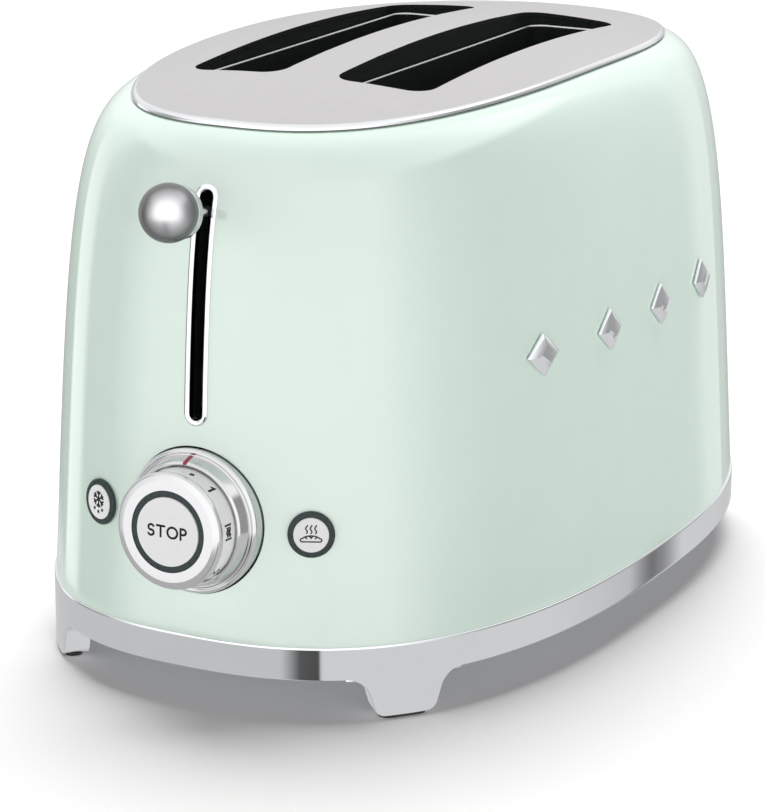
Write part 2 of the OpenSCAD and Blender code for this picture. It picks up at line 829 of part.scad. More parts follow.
// Wire grid that holds the bread upright and closes in as the carriage goes down
module bread_guide(slot_side, outward) {
    wires = 9;
    reach = 68;
    placed() color(STEEL) translate([slot_side * slot_middle + outward * guide_offset, 0, 0]) {
        for (z = [guide_low, guide_top]) translate([0, -reach - 2, z]) rotate([-90, 0, 0])
            cylinder(r = rail_radius, h = 2 * reach + 4, $fn = 24);
        for (i = [0 : wires - 1]) translate([0, lerp(-reach, reach, i / (wires - 1)), guide_low])
            cylinder(r = wire_radius, h = guide_top - guide_low, $fn = 24);
    }
}
module bread_guide_left_outer() { bread_guide(-1, -1); }
module bread_guide_left_inner() { bread_guide(-1, 1); }
module bread_guide_right_inner() { bread_guide(1, -1); }
module bread_guide_right_outer() { bread_guide(1, 1); }

// ---- Control board ----

module control_board() {
    placed() color([0.16, 0.36, 0.24]) difference() {
        translate([-52, board_y, board_low_z]) cube([104, board_sheet_y, board_high_z - board_low_z]);
        for (p = board_screws) translate([p.x, board_y - 2, p.y]) rotate([-90, 0, 0])
            cylinder(r = screw_hole, h = 6, $fn = 32);
    }
}

module board_standoffs() {
    placed() color(LIGHT) for (p = board_screws) translate([p.x, board_back, p.y])
        rotate([-90, 0, 0]) cylinder(r = 3, h = -chassis_y - chassis_sheet - board_back, $fn = 32);
}

module carriage_switches() {
    placed() color(BLACK) for (x = [-33.5, -27.5]) translate([x, board_back, 0]) {
        translate([0, 0, 38]) cube([5, 16, 12]);
        translate([2.5, 12, 49.9]) cylinder(r = 1, h = 2, $fn = 24);
    }
}

// The space behind the board's front face
module behind_board_face() { translate([-60, board_y, 0]) cube([120, 20, 100]); }

// Small switches behind the stop button and the two side buttons
module button_switches() {
    depth = 2.8;
    placed() color(BLACK) {
        translate([front_shift - 3, board_y - stop_switch,
            dial_height - (dial_front + board_y) * tan(front_lean) - 3]) cube([6, stop_switch, 6]);
        for (side = [-1, 1]) difference() {
            at_button(side) translate([0, 0, switch_face - 0.2 - depth]) {
                translate([-3, -3, 0]) cube([6, 6, depth]);
                translate([0, 0, -4]) cylinder(r = 1, h = 4.1, $fn = 24);
            }
            behind_board_face();
        }
    }
}

module dial_encoder() {
    pin = 4;
    placed() color(ZINC) {
        at_dial() tube(9, shaft_radius + running_gap, -18.4, -9.5);
        difference() {
            at_dial() for (a = [90, 210, 330]) rotate([0, 0, a]) translate([7, 0, -18.3 - pin])
                cylinder(r = 0.8, h = pin, $fn = 16);
            behind_board_face();
        }
    }
}

module terminal_block() {
    placed() color(LIGHT) translate([-16, chassis_y + chassis_sheet, inner_floor + 14]) difference() {
        cube([32, 14, 12]);
        for (x = [8, 16, 24]) translate([x, -1, 6]) rotate([-90, 0, 0])
            cylinder(r = 2, h = 16, $fn = 32);
    }
}

module chassis_screws() {
    placed() color(ZINC) for (p = board_screws) translate([p.x, board_y, p.y])
        rotate([90, 0, 0]) {
            cylinder(r = 2.8, h = 1.6, $fn = 32);
            translate([0, 0, -board_sheet_y]) cylinder(r = 1.5, h = board_sheet_y + 0.1, $fn = 32);
        }
}

// ---- Crumb tray ----

// Plan of the tray, moved in by inset on every side; its rear edge follows the base outline
module tray_block(inset, low) {
    intersection() {
        translate([-tray_width / 2 + inset, tray_front + inset, low])
            cube([tray_width - 2 * inset, half_length - tray_front, tray_lip]);
        translate([0, 0, low]) linear_extrude(tray_lip) polygon(base_outline(tray_rear + inset, 96));
    }
}

module crumb_tray() {
    placed() color(STEEL) difference() {
        tray_block(0, tray_floor);
        tray_block(1, tray_floor + tray_sheet);
    }
}

module crumb_tray_handle() {
    placed() color(CHROME) intersection() {
        outline_band(-ring_proud, tray_rear, tray_handle_low, tray_handle_high);
        translate([-tray_width / 2, half_length - 30, 0]) cube([tray_width, 40, 60]);
    }
}

body_shell();
top_panel();
base_ring();
base_plate();
foot_pad_front_left();
foot_pad_front_right();
foot_pad_rear_left();
foot_pad_rear_right();
base_screws();
cord_gland();
cord_wrap_hooks();
lever_slot_bezel();
lever_slot_channel();
dial_bezel();
index_mark();
defrost_ring();
reheat_ring();
trim_studs();
slot_liner_left();
slot_liner_right();
front_chassis_plate();
rear_chassis_plate();
heat_shield_left();
heat_shield_right();
mica_board_left_outer();
mica_board_left_inner();
mica_board_right_inner();
mica_board_right_outer();
heating_ribbons();
guide_rod();
lift_spring();
magnet_core();
magnet_coil();
control_board();
carriage_switches();
button_switches();
dial_encoder();
board_standoffs();
terminal_block();
chassis_screws();
carriage_bracket();
lever_stem();
lever_neck();
lever_ball();
keeper_plate();
bread_rack_left();
bread_rack_right();
bread_guide_left_outer();
bread_guide_left_inner();
bread_guide_right_inner();
bread_guide_right_outer();
dial_knob();
dial_skirt();
dial_face_ring();
dial_shaft();
stop_button();
defrost_button();
reheat_button();
crumb_tray();
crumb_tray_handle();
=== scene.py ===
"""Looks of the two-slot pop-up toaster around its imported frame. Metres, +Z up, front towards -Y."""

import json
import math

import bmesh
import bpy
import numpy as np
from mathutils import Matrix, Vector

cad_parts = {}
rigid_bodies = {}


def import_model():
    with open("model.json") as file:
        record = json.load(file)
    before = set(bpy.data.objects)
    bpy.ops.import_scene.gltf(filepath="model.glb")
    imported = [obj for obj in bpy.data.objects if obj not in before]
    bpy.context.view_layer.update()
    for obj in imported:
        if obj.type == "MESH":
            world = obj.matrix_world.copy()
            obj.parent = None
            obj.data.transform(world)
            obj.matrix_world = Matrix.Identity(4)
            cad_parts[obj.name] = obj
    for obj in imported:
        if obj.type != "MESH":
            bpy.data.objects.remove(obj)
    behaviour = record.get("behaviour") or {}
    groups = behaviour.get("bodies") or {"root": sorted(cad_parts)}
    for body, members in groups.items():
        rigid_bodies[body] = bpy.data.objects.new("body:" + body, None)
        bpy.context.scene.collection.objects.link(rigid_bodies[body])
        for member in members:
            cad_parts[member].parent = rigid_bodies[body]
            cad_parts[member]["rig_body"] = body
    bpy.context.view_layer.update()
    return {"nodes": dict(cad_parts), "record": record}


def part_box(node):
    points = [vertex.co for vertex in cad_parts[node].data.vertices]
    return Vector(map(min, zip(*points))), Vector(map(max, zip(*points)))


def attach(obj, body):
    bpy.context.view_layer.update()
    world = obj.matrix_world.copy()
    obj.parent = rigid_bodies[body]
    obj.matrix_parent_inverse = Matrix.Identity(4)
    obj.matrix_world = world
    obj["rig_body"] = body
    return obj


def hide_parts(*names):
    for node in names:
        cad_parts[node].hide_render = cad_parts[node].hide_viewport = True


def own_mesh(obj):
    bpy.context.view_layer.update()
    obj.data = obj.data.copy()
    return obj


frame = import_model()
NODES = frame["nodes"]
JOINTS = {joint["name"]: joint for joint in frame["record"]["behaviour"]["joints"]}
MM = 0.001

# ---- Places and sizes, worked out from the frame ----

shell_low, shell_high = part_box("body_shell")
panel_low, panel_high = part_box("top_panel")
ring_box_low, ring_box_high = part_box("base_ring")
MIDDLE_Y = (shell_low.y + shell_high.y) / 2
HALF_WIDTH = (shell_high.x - shell_low.x) / 2
HALF_LENGTH = (shell_high.y - shell_low.y) / 2
RING_TOP = shell_low.z
BODY_TOP = panel_high.z
PANEL_HALF = ((panel_high.x - panel_low.x) / 2, (panel_high.y - panel_low.y) / 2)
RING_PROUD = ring_box_high.x - HALF_WIDTH

# The same curve powers and depths that the frame's shell follows
OUTLINE_POWER = 2.52
CROWN_POWER = 2.43
SHOULDER_POWER = 4.6
SIDE_TAPER = 7.6 * MM
CROWN_INSET = 40 * MM
PANEL_FALL = (5.1 * MM, 9.2 * MM)
PANEL_BEVEL = 1.3 * MM
PANEL_SHEET = 1.5 * MM
SHELL_WALL = 1.2 * MM


def superellipse(half_x, half_y, power, angles):
    """Points on a superellipse round the body's middle, as two arrays."""
    c, s = np.cos(angles), np.sin(angles)
    x = half_x * np.sign(c) * np.abs(c) ** (2 / power)
    y = half_y * np.sign(s) * np.abs(s) ** (2 / power)
    return x, y


def panel_z(x, y):
    """Height of the top panel's upper face, with y from the body's middle."""
    return BODY_TOP - PANEL_FALL[0] * (x / PANEL_HALF[0]) ** 2 - PANEL_FALL[1] * (y / PANEL_HALF[1]) ** 2


def crown_z(y):
    """Height of the shell's crown, just under the panel's edge."""
    fall = PANEL_FALL[1] - PANEL_FALL[0]
    return BODY_TOP - PANEL_FALL[0] - PANEL_BEVEL - fall * (y / PANEL_HALF[1]) ** 2


def corner_fall(angles):
    """How much lower the crown lies at the outline's corners."""
    share = np.abs(np.cos(angles)) ** (4 / CROWN_POWER) + np.abs(np.sin(angles)) ** (4 / CROWN_POWER)
    return PANEL_FALL[0] * (share - 1)


def shell_inset(u):
    """How far the wall has come in at the share u of its height."""
    curve = 1 - (1 - u ** SHOULDER_POWER) ** (1 / SHOULDER_POWER)
    return SIDE_TAPER * u + (CROWN_INSET - SIDE_TAPER) * curve


def shell_power(u):
    return OUTLINE_POWER + (CROWN_POWER - OUTLINE_POWER) * u


# ---- Mesh helpers ----

def add_object(name, data):
    thing = bpy.data.objects.new(name, data)
    bpy.context.scene.collection.objects.link(thing)
    return thing


def face_outwards(mesh):
    bm = bmesh.new()
    bm.from_mesh(mesh)
    bmesh.ops.recalc_face_normals(bm, faces=bm.faces)
    bm.to_mesh(mesh)
    bm.free()


def evaluated_mesh(target):
    """The object's mesh with its modifiers applied."""
    depsgraph = bpy.context.evaluated_depsgraph_get()
    return bpy.data.meshes.new_from_object(target.evaluated_get(depsgraph))


def mesh_of(name, verts, faces):
    mesh = bpy.data.meshes.new(name)
    mesh.from_pydata([tuple(v) for v in verts], [], faces)
    return mesh


def new_piece(name, verts, faces, body, slot, smooth_angle=None, replaces=()):
    """A mesh piece in the frame's place, riding on a body and taking its finish from a slot."""
    mesh = mesh_of(name, verts, faces)
    mesh.validate()
    return place_piece(name, mesh, body, slot, smooth_angle, replaces)


def place_piece(name, mesh, body, slot, smooth_angle=None, replaces=()):
    """The same for a mesh that is already made."""
    mesh.name = name
    face_outwards(mesh)
    if smooth_angle is not None:
        mesh.shade_smooth()
        mesh.set_sharp_from_angle(angle=math.radians(smooth_angle))
    piece = add_object(name, mesh)
    mesh.materials.append(MATERIALS[slot])
    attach(piece, body)
    RECORD_SLOT.get(slot, slot)
    for node in replaces:
        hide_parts(node)
    return piece


def loop_faces(rows, count, closed_rows=True, closed_columns=True):
    """Quads over a grid of rows, each with count points."""
    faces = []
    for i in range(rows if closed_rows else rows - 1):
        k = (i + 1) % rows
        for j in range(count if closed_columns else count - 1):
            m = (j + 1) % count
            faces.append((i * count + j, i * count + m, k * count + m, k * count + j))
    return faces


def round_rect(size_x, size_y, radius, steps=10):
    """Outline of a rectangle with round corners, anticlockwise, round the origin."""
    points = []
    for corner, (sx, sy) in enumerate(((1, 1), (-1, 1), (-1, -1), (1, -1))):
        for i in range(steps + 1):
            a = math.radians(90 * corner + 90 * i / steps)
            points.append((sx * (size_x / 2 - radius) + radius * math.cos(a),
                           sy * (size_y / 2 - radius) + radius * math.sin(a)))
    return points


def prism(outline, low, high, to_world):
    """Vertices and faces of a closed prism over a 2D outline."""
    count = len(outline)
    verts = [to_world(x, y, low) for x, y in outline] + [to_world(x, y, high) for x, y in outline]
    faces = [tuple(reversed(range(count))), tuple(range(count, 2 * count))]
    faces += [(j, (j + 1) % count, count + (j + 1) % count, count + j) for j in range(count)]
    return verts, faces


def cut_mesh(mesh, cutters):
    """The mesh with closed (verts, faces) cutters taken out of it."""
    target = add_object("cut_target", mesh)
    tools = []
    for verts, faces in cutters:
        tool_mesh = mesh_of("cutter", verts, faces)
        face_outwards(tool_mesh)
        tool = add_object("cutter", tool_mesh)
        modifier = target.modifiers.new("cut", "BOOLEAN")
        modifier.operation = "DIFFERENCE"
        modifier.solver = "EXACT"
        modifier.object = tool
        tools.append(tool)
    result = evaluated_mesh(target)
    for obj in tools + [target]:
        bpy.data.objects.remove(obj)
    return result


def set_normals_where(mesh, on_surface, surface_normals):
    """Gives faces that lie wholly on a known surface that surface's own normals."""
    count = len(mesh.vertices)
    co = np.zeros(count * 3)
    mesh.vertices.foreach_get("co", co)
    co = co.reshape(-1, 3)
    known = on_surface(co)
    normals = surface_normals(co)
    split = []
    for polygon in mesh.polygons:
        whole = all(known[v] for v in polygon.vertices)
        for v in polygon.vertices:
            split.append(tuple(normals[v]) if whole else tuple(polygon.normal))
    mesh.shade_smooth()
    mesh.normals_split_custom_set(split)


def circle_points(radius, count):
    return [(radius * math.cos(2 * math.pi * i / count), radius * math.sin(2 * math.pi * i / count))
            for i in range(count)]


def rounded_profile(points, radii, steps=5):
    """A polyline whose inner corners are rounded; radii has one value per point."""
    out = []
    for i, (p, radius) in enumerate(zip(points, radii)):
        if radius <= 0 or i in (0, len(points) - 1):
            out.append(p)
            continue
        p, a, b = Vector(p), Vector(points[i - 1]), Vector(points[i + 1])
        to_a, to_b = (a - p).normalized(), (b - p).normalized()
        half = math.acos(max(-1, min(1, to_a.dot(to_b)))) / 2
        reach = min(radius / math.tan(half), (a - p).length * 0.49, (b - p).length * 0.49)
        start, end = p + to_a * reach, p + to_b * reach
        for k in range(steps + 1):
            t = k / steps
            q = start * (1 - t) ** 2 + p * 2 * t * (1 - t) + end * t * t
            out.append(tuple(q))
    return out


def mm_profile(points, radii):
    """A rounded profile given in millimetres."""
    return rounded_profile([(r * MM, s * MM) for r, s in points], [v * MM for v in radii])


def lathe(name, profile, place, body, slot, segments=128, smooth_angle=35, replaces=()):
    """Turns a closed (radius, reach) profile round an axis; place maps (x, y, reach) to the world."""
    verts, rows = [], len(profile)
    for radius, reach in profile:
        for j in range(segments):
            a = 2 * math.pi * j / segments
            verts.append(place(radius * math.cos(a), radius * math.sin(a), reach))
    faces = loop_faces(rows, segments)
    return new_piece(name, verts, faces, body, slot, smooth_angle, replaces)


MERGE_WITHIN = 0.001 * MM
COPLANAR_WITHIN = math.radians(0.5)
BEVEL_FROM = math.radians(40)
BEVEL_SEGMENTS = 3
SMOOTH_BELOW = 30


def softened(node, width):
    """A copy of a CAD node with its sharp edges rounded, which stands for the node."""
    source = NODES[node]
    mesh = source.data.copy()
    bm = bmesh.new()
    bm.from_mesh(mesh)
    bmesh.ops.remove_doubles(bm, verts=bm.verts, dist=MERGE_WITHIN)
    bmesh.ops.dissolve_limit(bm, angle_limit=COPLANAR_WITHIN, verts=bm.verts, edges=bm.edges)
    bm.to_mesh(mesh)
    bm.free()
    target = add_object("soften_target", mesh)
    modifier = target.modifiers.new("bevel", "BEVEL")
    modifier.width = width
    modifier.segments = BEVEL_SEGMENTS
    modifier.limit_method = "ANGLE"
    modifier.angle_limit = BEVEL_FROM
    result = evaluated_mesh(target)
    bpy.data.objects.remove(target)
    result.materials.clear()
    place_piece(node + "_finished", result, source["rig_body"], SLOT_OF[node], SMOOTH_BELOW, (node,))


# ---- Materials ----

SLOT_OF = {part["node"]: part["material_slot"] for part in frame["record"]["subparts"]}

# Finishes made here for single parts, and the record's slot that each belongs to
RECORD_SLOT = {
    "dark_print": "dark_plastic",
    "ball_chrome": "polished_chrome",
    "chrome_with_painted_shade": "polished_chrome",
}


def feed(tree, node, inputs):
    """Sets a node's inputs to plain values, or joins them to other nodes' outputs."""
    for key, value in inputs.items():
        if isinstance(value, bpy.types.NodeSocket):
            tree.links.new(value, node.inputs[key])
        else:
            node.inputs[key].default_value = value


def new_node(tree, kind, inputs):
    node = tree.nodes.new(kind)
    feed(tree, node, inputs)
    return node


def color_ramp(tree, along, stops):
    """Colour output of a ramp whose stops are (position, (r, g, b))."""
    node = new_node(tree, "ShaderNodeValToRGB", {"Fac": along})
    elements = node.color_ramp.elements
    while len(elements) < len(stops):
        elements.new(0.5)
    for element, (position, color) in zip(elements, stops):
        element.position = position
        element.color = (*color, 1)
    return node.outputs["Color"]


def finish(name, color, metallic=0.0, roughness=0.4, vary=0.03, scale=300.0, stretch=(1, 1, 1),
           bump=0.0, bump_scale=None, rough_vary=0.05, specular=0.5, ior=1.5, rim=None):
    """A procedural finish: its colour, roughness and height all follow fine noise; with rim, its colour also
    darkens towards the outline as painted shade.
    """
    material = bpy.data.materials.new(name)
    material.use_nodes = True
    tree = material.node_tree
    shader = tree.nodes["Principled BSDF"]
    feed(tree, shader, {"Metallic": metallic, "Specular IOR Level": specular, "IOR": ior})
    place = new_node(tree, "ShaderNodeTexCoord", {}).outputs["Object"]
    mapping = new_node(tree, "ShaderNodeMapping", {"Scale": stretch, "Vector": place})
    spot = mapping.outputs["Vector"]
    grain = new_node(tree, "ShaderNodeTexNoise", {"Scale": scale, "Detail": 4, "Vector": spot})
    grain = grain.outputs["Fac"]
    dark = [c * (1 - vary) for c in color]
    light = [min(1, c * (1 + vary)) for c in color]
    base = color_ramp(tree, grain, ((0.3, dark), (0.7, light)))
    if rim:
        # Painted shade: the base colour darkens towards the outline, by the angle to the view, to stand for
        # dark reflections at the rim
        facing_away = new_node(tree, "ShaderNodeLayerWeight", {}).outputs["Facing"]
        tint = new_node(tree, "ShaderNodeMix", {})
        tint.data_type = "RGBA"
        tint.blend_type = "MULTIPLY"
        painted_rim_shade = color_ramp(tree, facing_away, [(position, (v, v, v)) for position, v in rim])
        feed(tree, tint, {"Factor": 1.0, "A": base, "B": painted_rim_shade})
        base = tint.outputs["Result"]
    spread = new_node(tree, "ShaderNodeMapRange", {
        "To Min": max(0.0, roughness - rough_vary), "To Max": roughness + rough_vary, "Value": grain})
    feed(tree, shader, {"Base Color": base, "Roughness": spread.outputs["Result"]})
    if bump:
        height = new_node(tree, "ShaderNodeTexNoise", {
            "Scale": bump_scale or scale, "Detail": 3, "Vector": spot})
        relief = new_node(tree, "ShaderNodeBump", {
            "Strength": 1.0, "Distance": bump, "Height": height.outputs["Fac"]})
        feed(tree, shader, {"Normal": relief.outputs["Normal"]})
    return material


# Painted shade on the ball: how much of its reflection is left, from its middle (0) to its rim (1)
BALL_RIM_PAINTED_SHADE = ((0, 1), (0.06, 0.95), (0.2, 0.6), (0.45, 0.24), (0.75, 0.22), (1, 0.4))

MATERIALS = {
    "painted_shell": finish(
        "pastel_enamel", (0.69, 0.845, 0.752), roughness=0.05, vary=0.008, scale=60, rough_vary=0.01,
        bump=0.000003, bump_scale=420, specular=1.0, ior=1.8),
    "satin_steel": finish(
        "satin_steel", (0.61, 0.595, 0.598), metallic=1, roughness=0.33, vary=0.03, scale=900,
        stretch=(1, 0.02, 1), rough_vary=0.04, bump=0.0000015),
    "polished_chrome": finish(
        "polished_chrome", (0.80, 0.81, 0.83), metallic=1, roughness=0.05, vary=0.01, scale=120,
        rough_vary=0.015),
    # Ball chrome, with painted shade darkening it towards its rim
    "ball_chrome": finish(
        "ball_chrome", (0.84, 0.84, 0.86), metallic=1, roughness=0.36, vary=0.01, scale=120,
        rough_vary=0.015, rim=BALL_RIM_PAINTED_SHADE),
    # A darker copy of the polished chrome for the dial and the lever's cup: painted shade that holds back the
    # bright front light they face
    "chrome_with_painted_shade": finish(
        "chrome_with_painted_shade", (0.64, 0.64, 0.65), metallic=1, roughness=0.13, vary=0.01, scale=300,
        rough_vary=0.02),
    "zinc_sheet": finish(
        "zinc_sheet", (0.50, 0.52, 0.54), metallic=1, roughness=0.42, vary=0.10, scale=140,
        rough_vary=0.08),
    "bare_steel": finish(
        "bare_steel", (0.55, 0.55, 0.56), metallic=1, roughness=0.28, vary=0.05, scale=400,
        rough_vary=0.06),
    "black_steel": finish(
        "black_steel", (0.014, 0.018, 0.018), roughness=0.5, vary=0.2, scale=500, rough_vary=0.06,
        bump=0.000004, specular=0.15),
    "rubber": finish(
        "foot_rubber", (0.02, 0.02, 0.02), roughness=0.75, vary=0.2, scale=700, bump=0.00001),
    "black_plastic": finish(
        "black_plastic", (0.012, 0.016, 0.016), roughness=0.5, vary=0.2, scale=900, bump=0.000006),
    "dark_plastic": finish(
        "dark_plastic", (0.035, 0.052, 0.05), roughness=0.28, vary=0.08, scale=600, bump=0.000002,
        specular=0.25),
    "light_plastic": finish(
        "light_plastic", (0.86, 0.86, 0.87), roughness=0.30, vary=0.01, scale=500, bump=0.000001),
    "crimson_mark": finish("crimson_mark", (0.42, 0.018, 0.085), roughness=0.3, vary=0.04, scale=400),
    "dark_print": finish(
        "dark_print", (0.018, 0.022, 0.022), roughness=0.35, vary=0.1, scale=700, specular=0.1),
    "mica": finish("mica", (0.46, 0.40, 0.27), roughness=0.45, vary=0.16, scale=90, bump=0.00001),
    "resistance_wire": finish(
        "resistance_wire", (0.30, 0.27, 0.25), metallic=1, roughness=0.45, vary=0.15, scale=500),
    "spring_steel": finish(
        "spring_steel", (0.48, 0.48, 0.50), metallic=1, roughness=0.25, vary=0.05, scale=500),
    "circuit_board": finish("circuit_board", (0.03, 0.14, 0.06), roughness=0.35, vary=0.15, scale=200),
    "copper_winding": finish(
        "copper_winding", (0.62, 0.26, 0.10), metallic=1, roughness=0.35, vary=0.1, scale=900,
        stretch=(0.02, 0.02, 1), bump=0.00004),
}

for node, piece in NODES.items():
    piece.data.materials.clear()
    piece.data.materials.append(MATERIALS[SLOT_OF[node]])
    piece.data.shade_smooth()
    piece.data.set_sharp_from_angle(angle=math.radians(SMOOTH_BELOW))

# ---- Painted shell ----

SHELL_AROUND = 288
SHELL_STEPS = 84
LINING_STEPS = 24
ROW_CROWDING = 2.5
SLOT_OVERLAP = 1.5 * MM
DIAL_CLEARANCE = 0.45 * MM
BUTTON_HOLE = 6.6 * MM
GLAND_HOLE = 6.6 * MM
BUTTON_RING_PROUD = 1.05 * MM
GLAND_PROUD = 2.2 * MM
slot_low, slot_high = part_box("lever_slot_bezel")
dial_low, dial_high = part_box("dial_bezel")
BEZEL_RADIUS = (dial_high.x - dial_low.x) / 2


def shell_row(u, depth, angles):
    lean = u ** 6
    inset = shell_inset(u) + depth * SHELL_WALL * (1 - lean)
    x, y = superellipse(HALF_WIDTH - inset, HALF_LENGTH - inset, shell_power(u), angles)
    top = crown_z(y) - corner_fall(angles) - depth * SHELL_WALL * lean
    return np.stack([x, y + MIDDLE_Y, RING_TOP + (top - RING_TOP) * u], 1)


def shell_level(points):
    """Zero on the shell's outer face, negative inside it."""
    y = points[:, 1] - MIDDLE_Y
    u = np.clip((points[:, 2] - RING_TOP) / (crown_z(y) - RING_TOP), 0, 0.99999)
    for _ in range(3):
        inset = shell_inset(u)
        power = shell_power(u)
        across = (np.abs(points[:, 0]) / (HALF_WIDTH - inset)) ** (power / 2)
        along = (np.abs(y) / (HALF_LENGTH - inset)) ** (power / 2)
        top = crown_z(y) - corner_fall(np.arctan2(along, across))
        u = np.clip((points[:, 2] - RING_TOP) / (top - RING_TOP), 0, 0.99999)
    inset = shell_inset(u)
    power = shell_power(u)
    return (np.abs(points[:, 0]) / (HALF_WIDTH - inset)) ** power \
        + (np.abs(y) / (HALF_LENGTH - inset)) ** power - 1


def gradient(level, points, step=0.00002):
    out = np.zeros_like(points)
    for axis in range(3):
        move = np.zeros(3)
        move[axis] = step
        out[:, axis] = (level(points + move) - level(points - move)) / (2 * step)
    return out


def shell_normals(points):
    slope = gradient(shell_level, points)
    return slope / np.maximum(np.linalg.norm(slope, axis=1), 1e-9)[:, None]


def on_shell(points):
    slope = np.linalg.norm(gradient(shell_level, points), axis=1)
    return np.abs(shell_level(points)) < slope * 0.06 * MM


def right_and_up(outward):
    right = Vector((-outward.y, outward.x, 0)).normalized()
    return right, outward.cross(right)


def facing(centre, outward):
    """Maps (x, y, reach) round an outward axis to the world, with x to the right and y upwards."""
    right, up = right_and_up(outward)
    return lambda x, y, reach: tuple(centre + right * x + up * y + outward * reach)


facing_dial = facing(Vector(JOINTS["dial_turn"]["pos_m"]),
                     Vector(JOINTS["dial_turn"]["axis"]).normalized())


def button_place(side):
    """The same round a side button's axis, with reach 0 on the shell."""
    joint, ring = ("reheat_press", "reheat_ring") if side > 0 else ("defrost_press", "defrost_ring")
    outward = -Vector(JOINTS[joint]["axis"]).normalized()
    right, up = right_and_up(outward)
    corners = [v.co for v in NODES[ring].data.vertices]
    spans = [[c.dot(axis) for c in corners] for axis in (right, up, outward)]
    centre = right * (min(spans[0]) + max(spans[0])) / 2 + up * (min(spans[1]) + max(spans[1])) / 2 \
        + outward * (max(spans[2]) - BUTTON_RING_PROUD)
    return facing(centre, outward)


def gland_place(x, y, reach):
    low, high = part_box("cord_gland")
    return ((low.x + high.x) / 2 + x, high.y - GLAND_PROUD + reach, (low.z + high.z) / 2 + y)


def build_shell():
    angles = np.linspace(0, 2 * math.pi, SHELL_AROUND, endpoint=False)
    outer = [1 - (1 - i / SHELL_STEPS) ** ROW_CROWDING for i in range(SHELL_STEPS + 1)]
    inner = [1 - (1 - i / LINING_STEPS) ** ROW_CROWDING for i in range(LINING_STEPS, -1, -1)]
    rows = [shell_row(u, 0, angles) for u in outer] + [shell_row(u, 1, angles) for u in inner]
    mesh = mesh_of("shell", np.concatenate(rows), loop_faces(len(rows), SHELL_AROUND))
    slot_size = (slot_high.x - slot_low.x - 2 * SLOT_OVERLAP,
                 slot_high.z - slot_low.z - 2 * SLOT_OVERLAP)
    slot_middle_x = (slot_high.x + slot_low.x) / 2
    slot_middle_z = (slot_high.z + slot_low.z) / 2
    cutters = [prism(round_rect(*slot_size, slot_size[0] / 2 - 0.01 * MM), -20 * MM, 60 * MM,
                     lambda x, y, r: (slot_middle_x + x, shell_low.y + r, slot_middle_z + y))]
    dial_hole = circle_points(BEZEL_RADIUS + DIAL_CLEARANCE, 128)
    cutters.append(prism(dial_hole, -12 * MM, 8 * MM, facing_dial))
    for side in (-1, 1):
        cutters.append(prism(circle_points(BUTTON_HOLE, 64), -9 * MM, 7 * MM, button_place(side)))
    cutters.append(prism(circle_points(GLAND_HOLE, 64), -20 * MM, 10 * MM, gland_place))
    result = cut_mesh(mesh, cutters)
    piece = place_piece("painted_shell", result, "housing", "painted_shell", None, ("body_shell",))
    set_normals_where(piece.data, on_shell, shell_normals)


build_shell()

# ---- Top panel ----

PANEL_AROUND = 288
BREAD_CORNER = 7.5 * MM
liner_boxes = {side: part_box(name) for side, name in ((-1, "slot_liner_left"), (1, "slot_liner_right"))}
LINER_SKIRT = 1.2 * MM
ON_PANEL = 0.03 * MM
BRIGHT_EDGE = 1.3
BEVEL_MARGIN = 1.02


def bread_slot(side):
    """Middle x, width and length of a bread slot, from the liner that hangs under it."""
    low, high = liner_boxes[side]
    return (low.x + high.x) / 2, high.x - low.x - 2 * LINER_SKIRT, high.y - low.y - 2 * LINER_SKIRT


def panel_row(scale, drop, angles):
    x, y = superellipse(PANEL_HALF[0] * scale, PANEL_HALF[1] * scale, CROWN_POWER, angles)
    return np.stack([x, y + MIDDLE_Y, panel_z(x, y) - drop], 1)


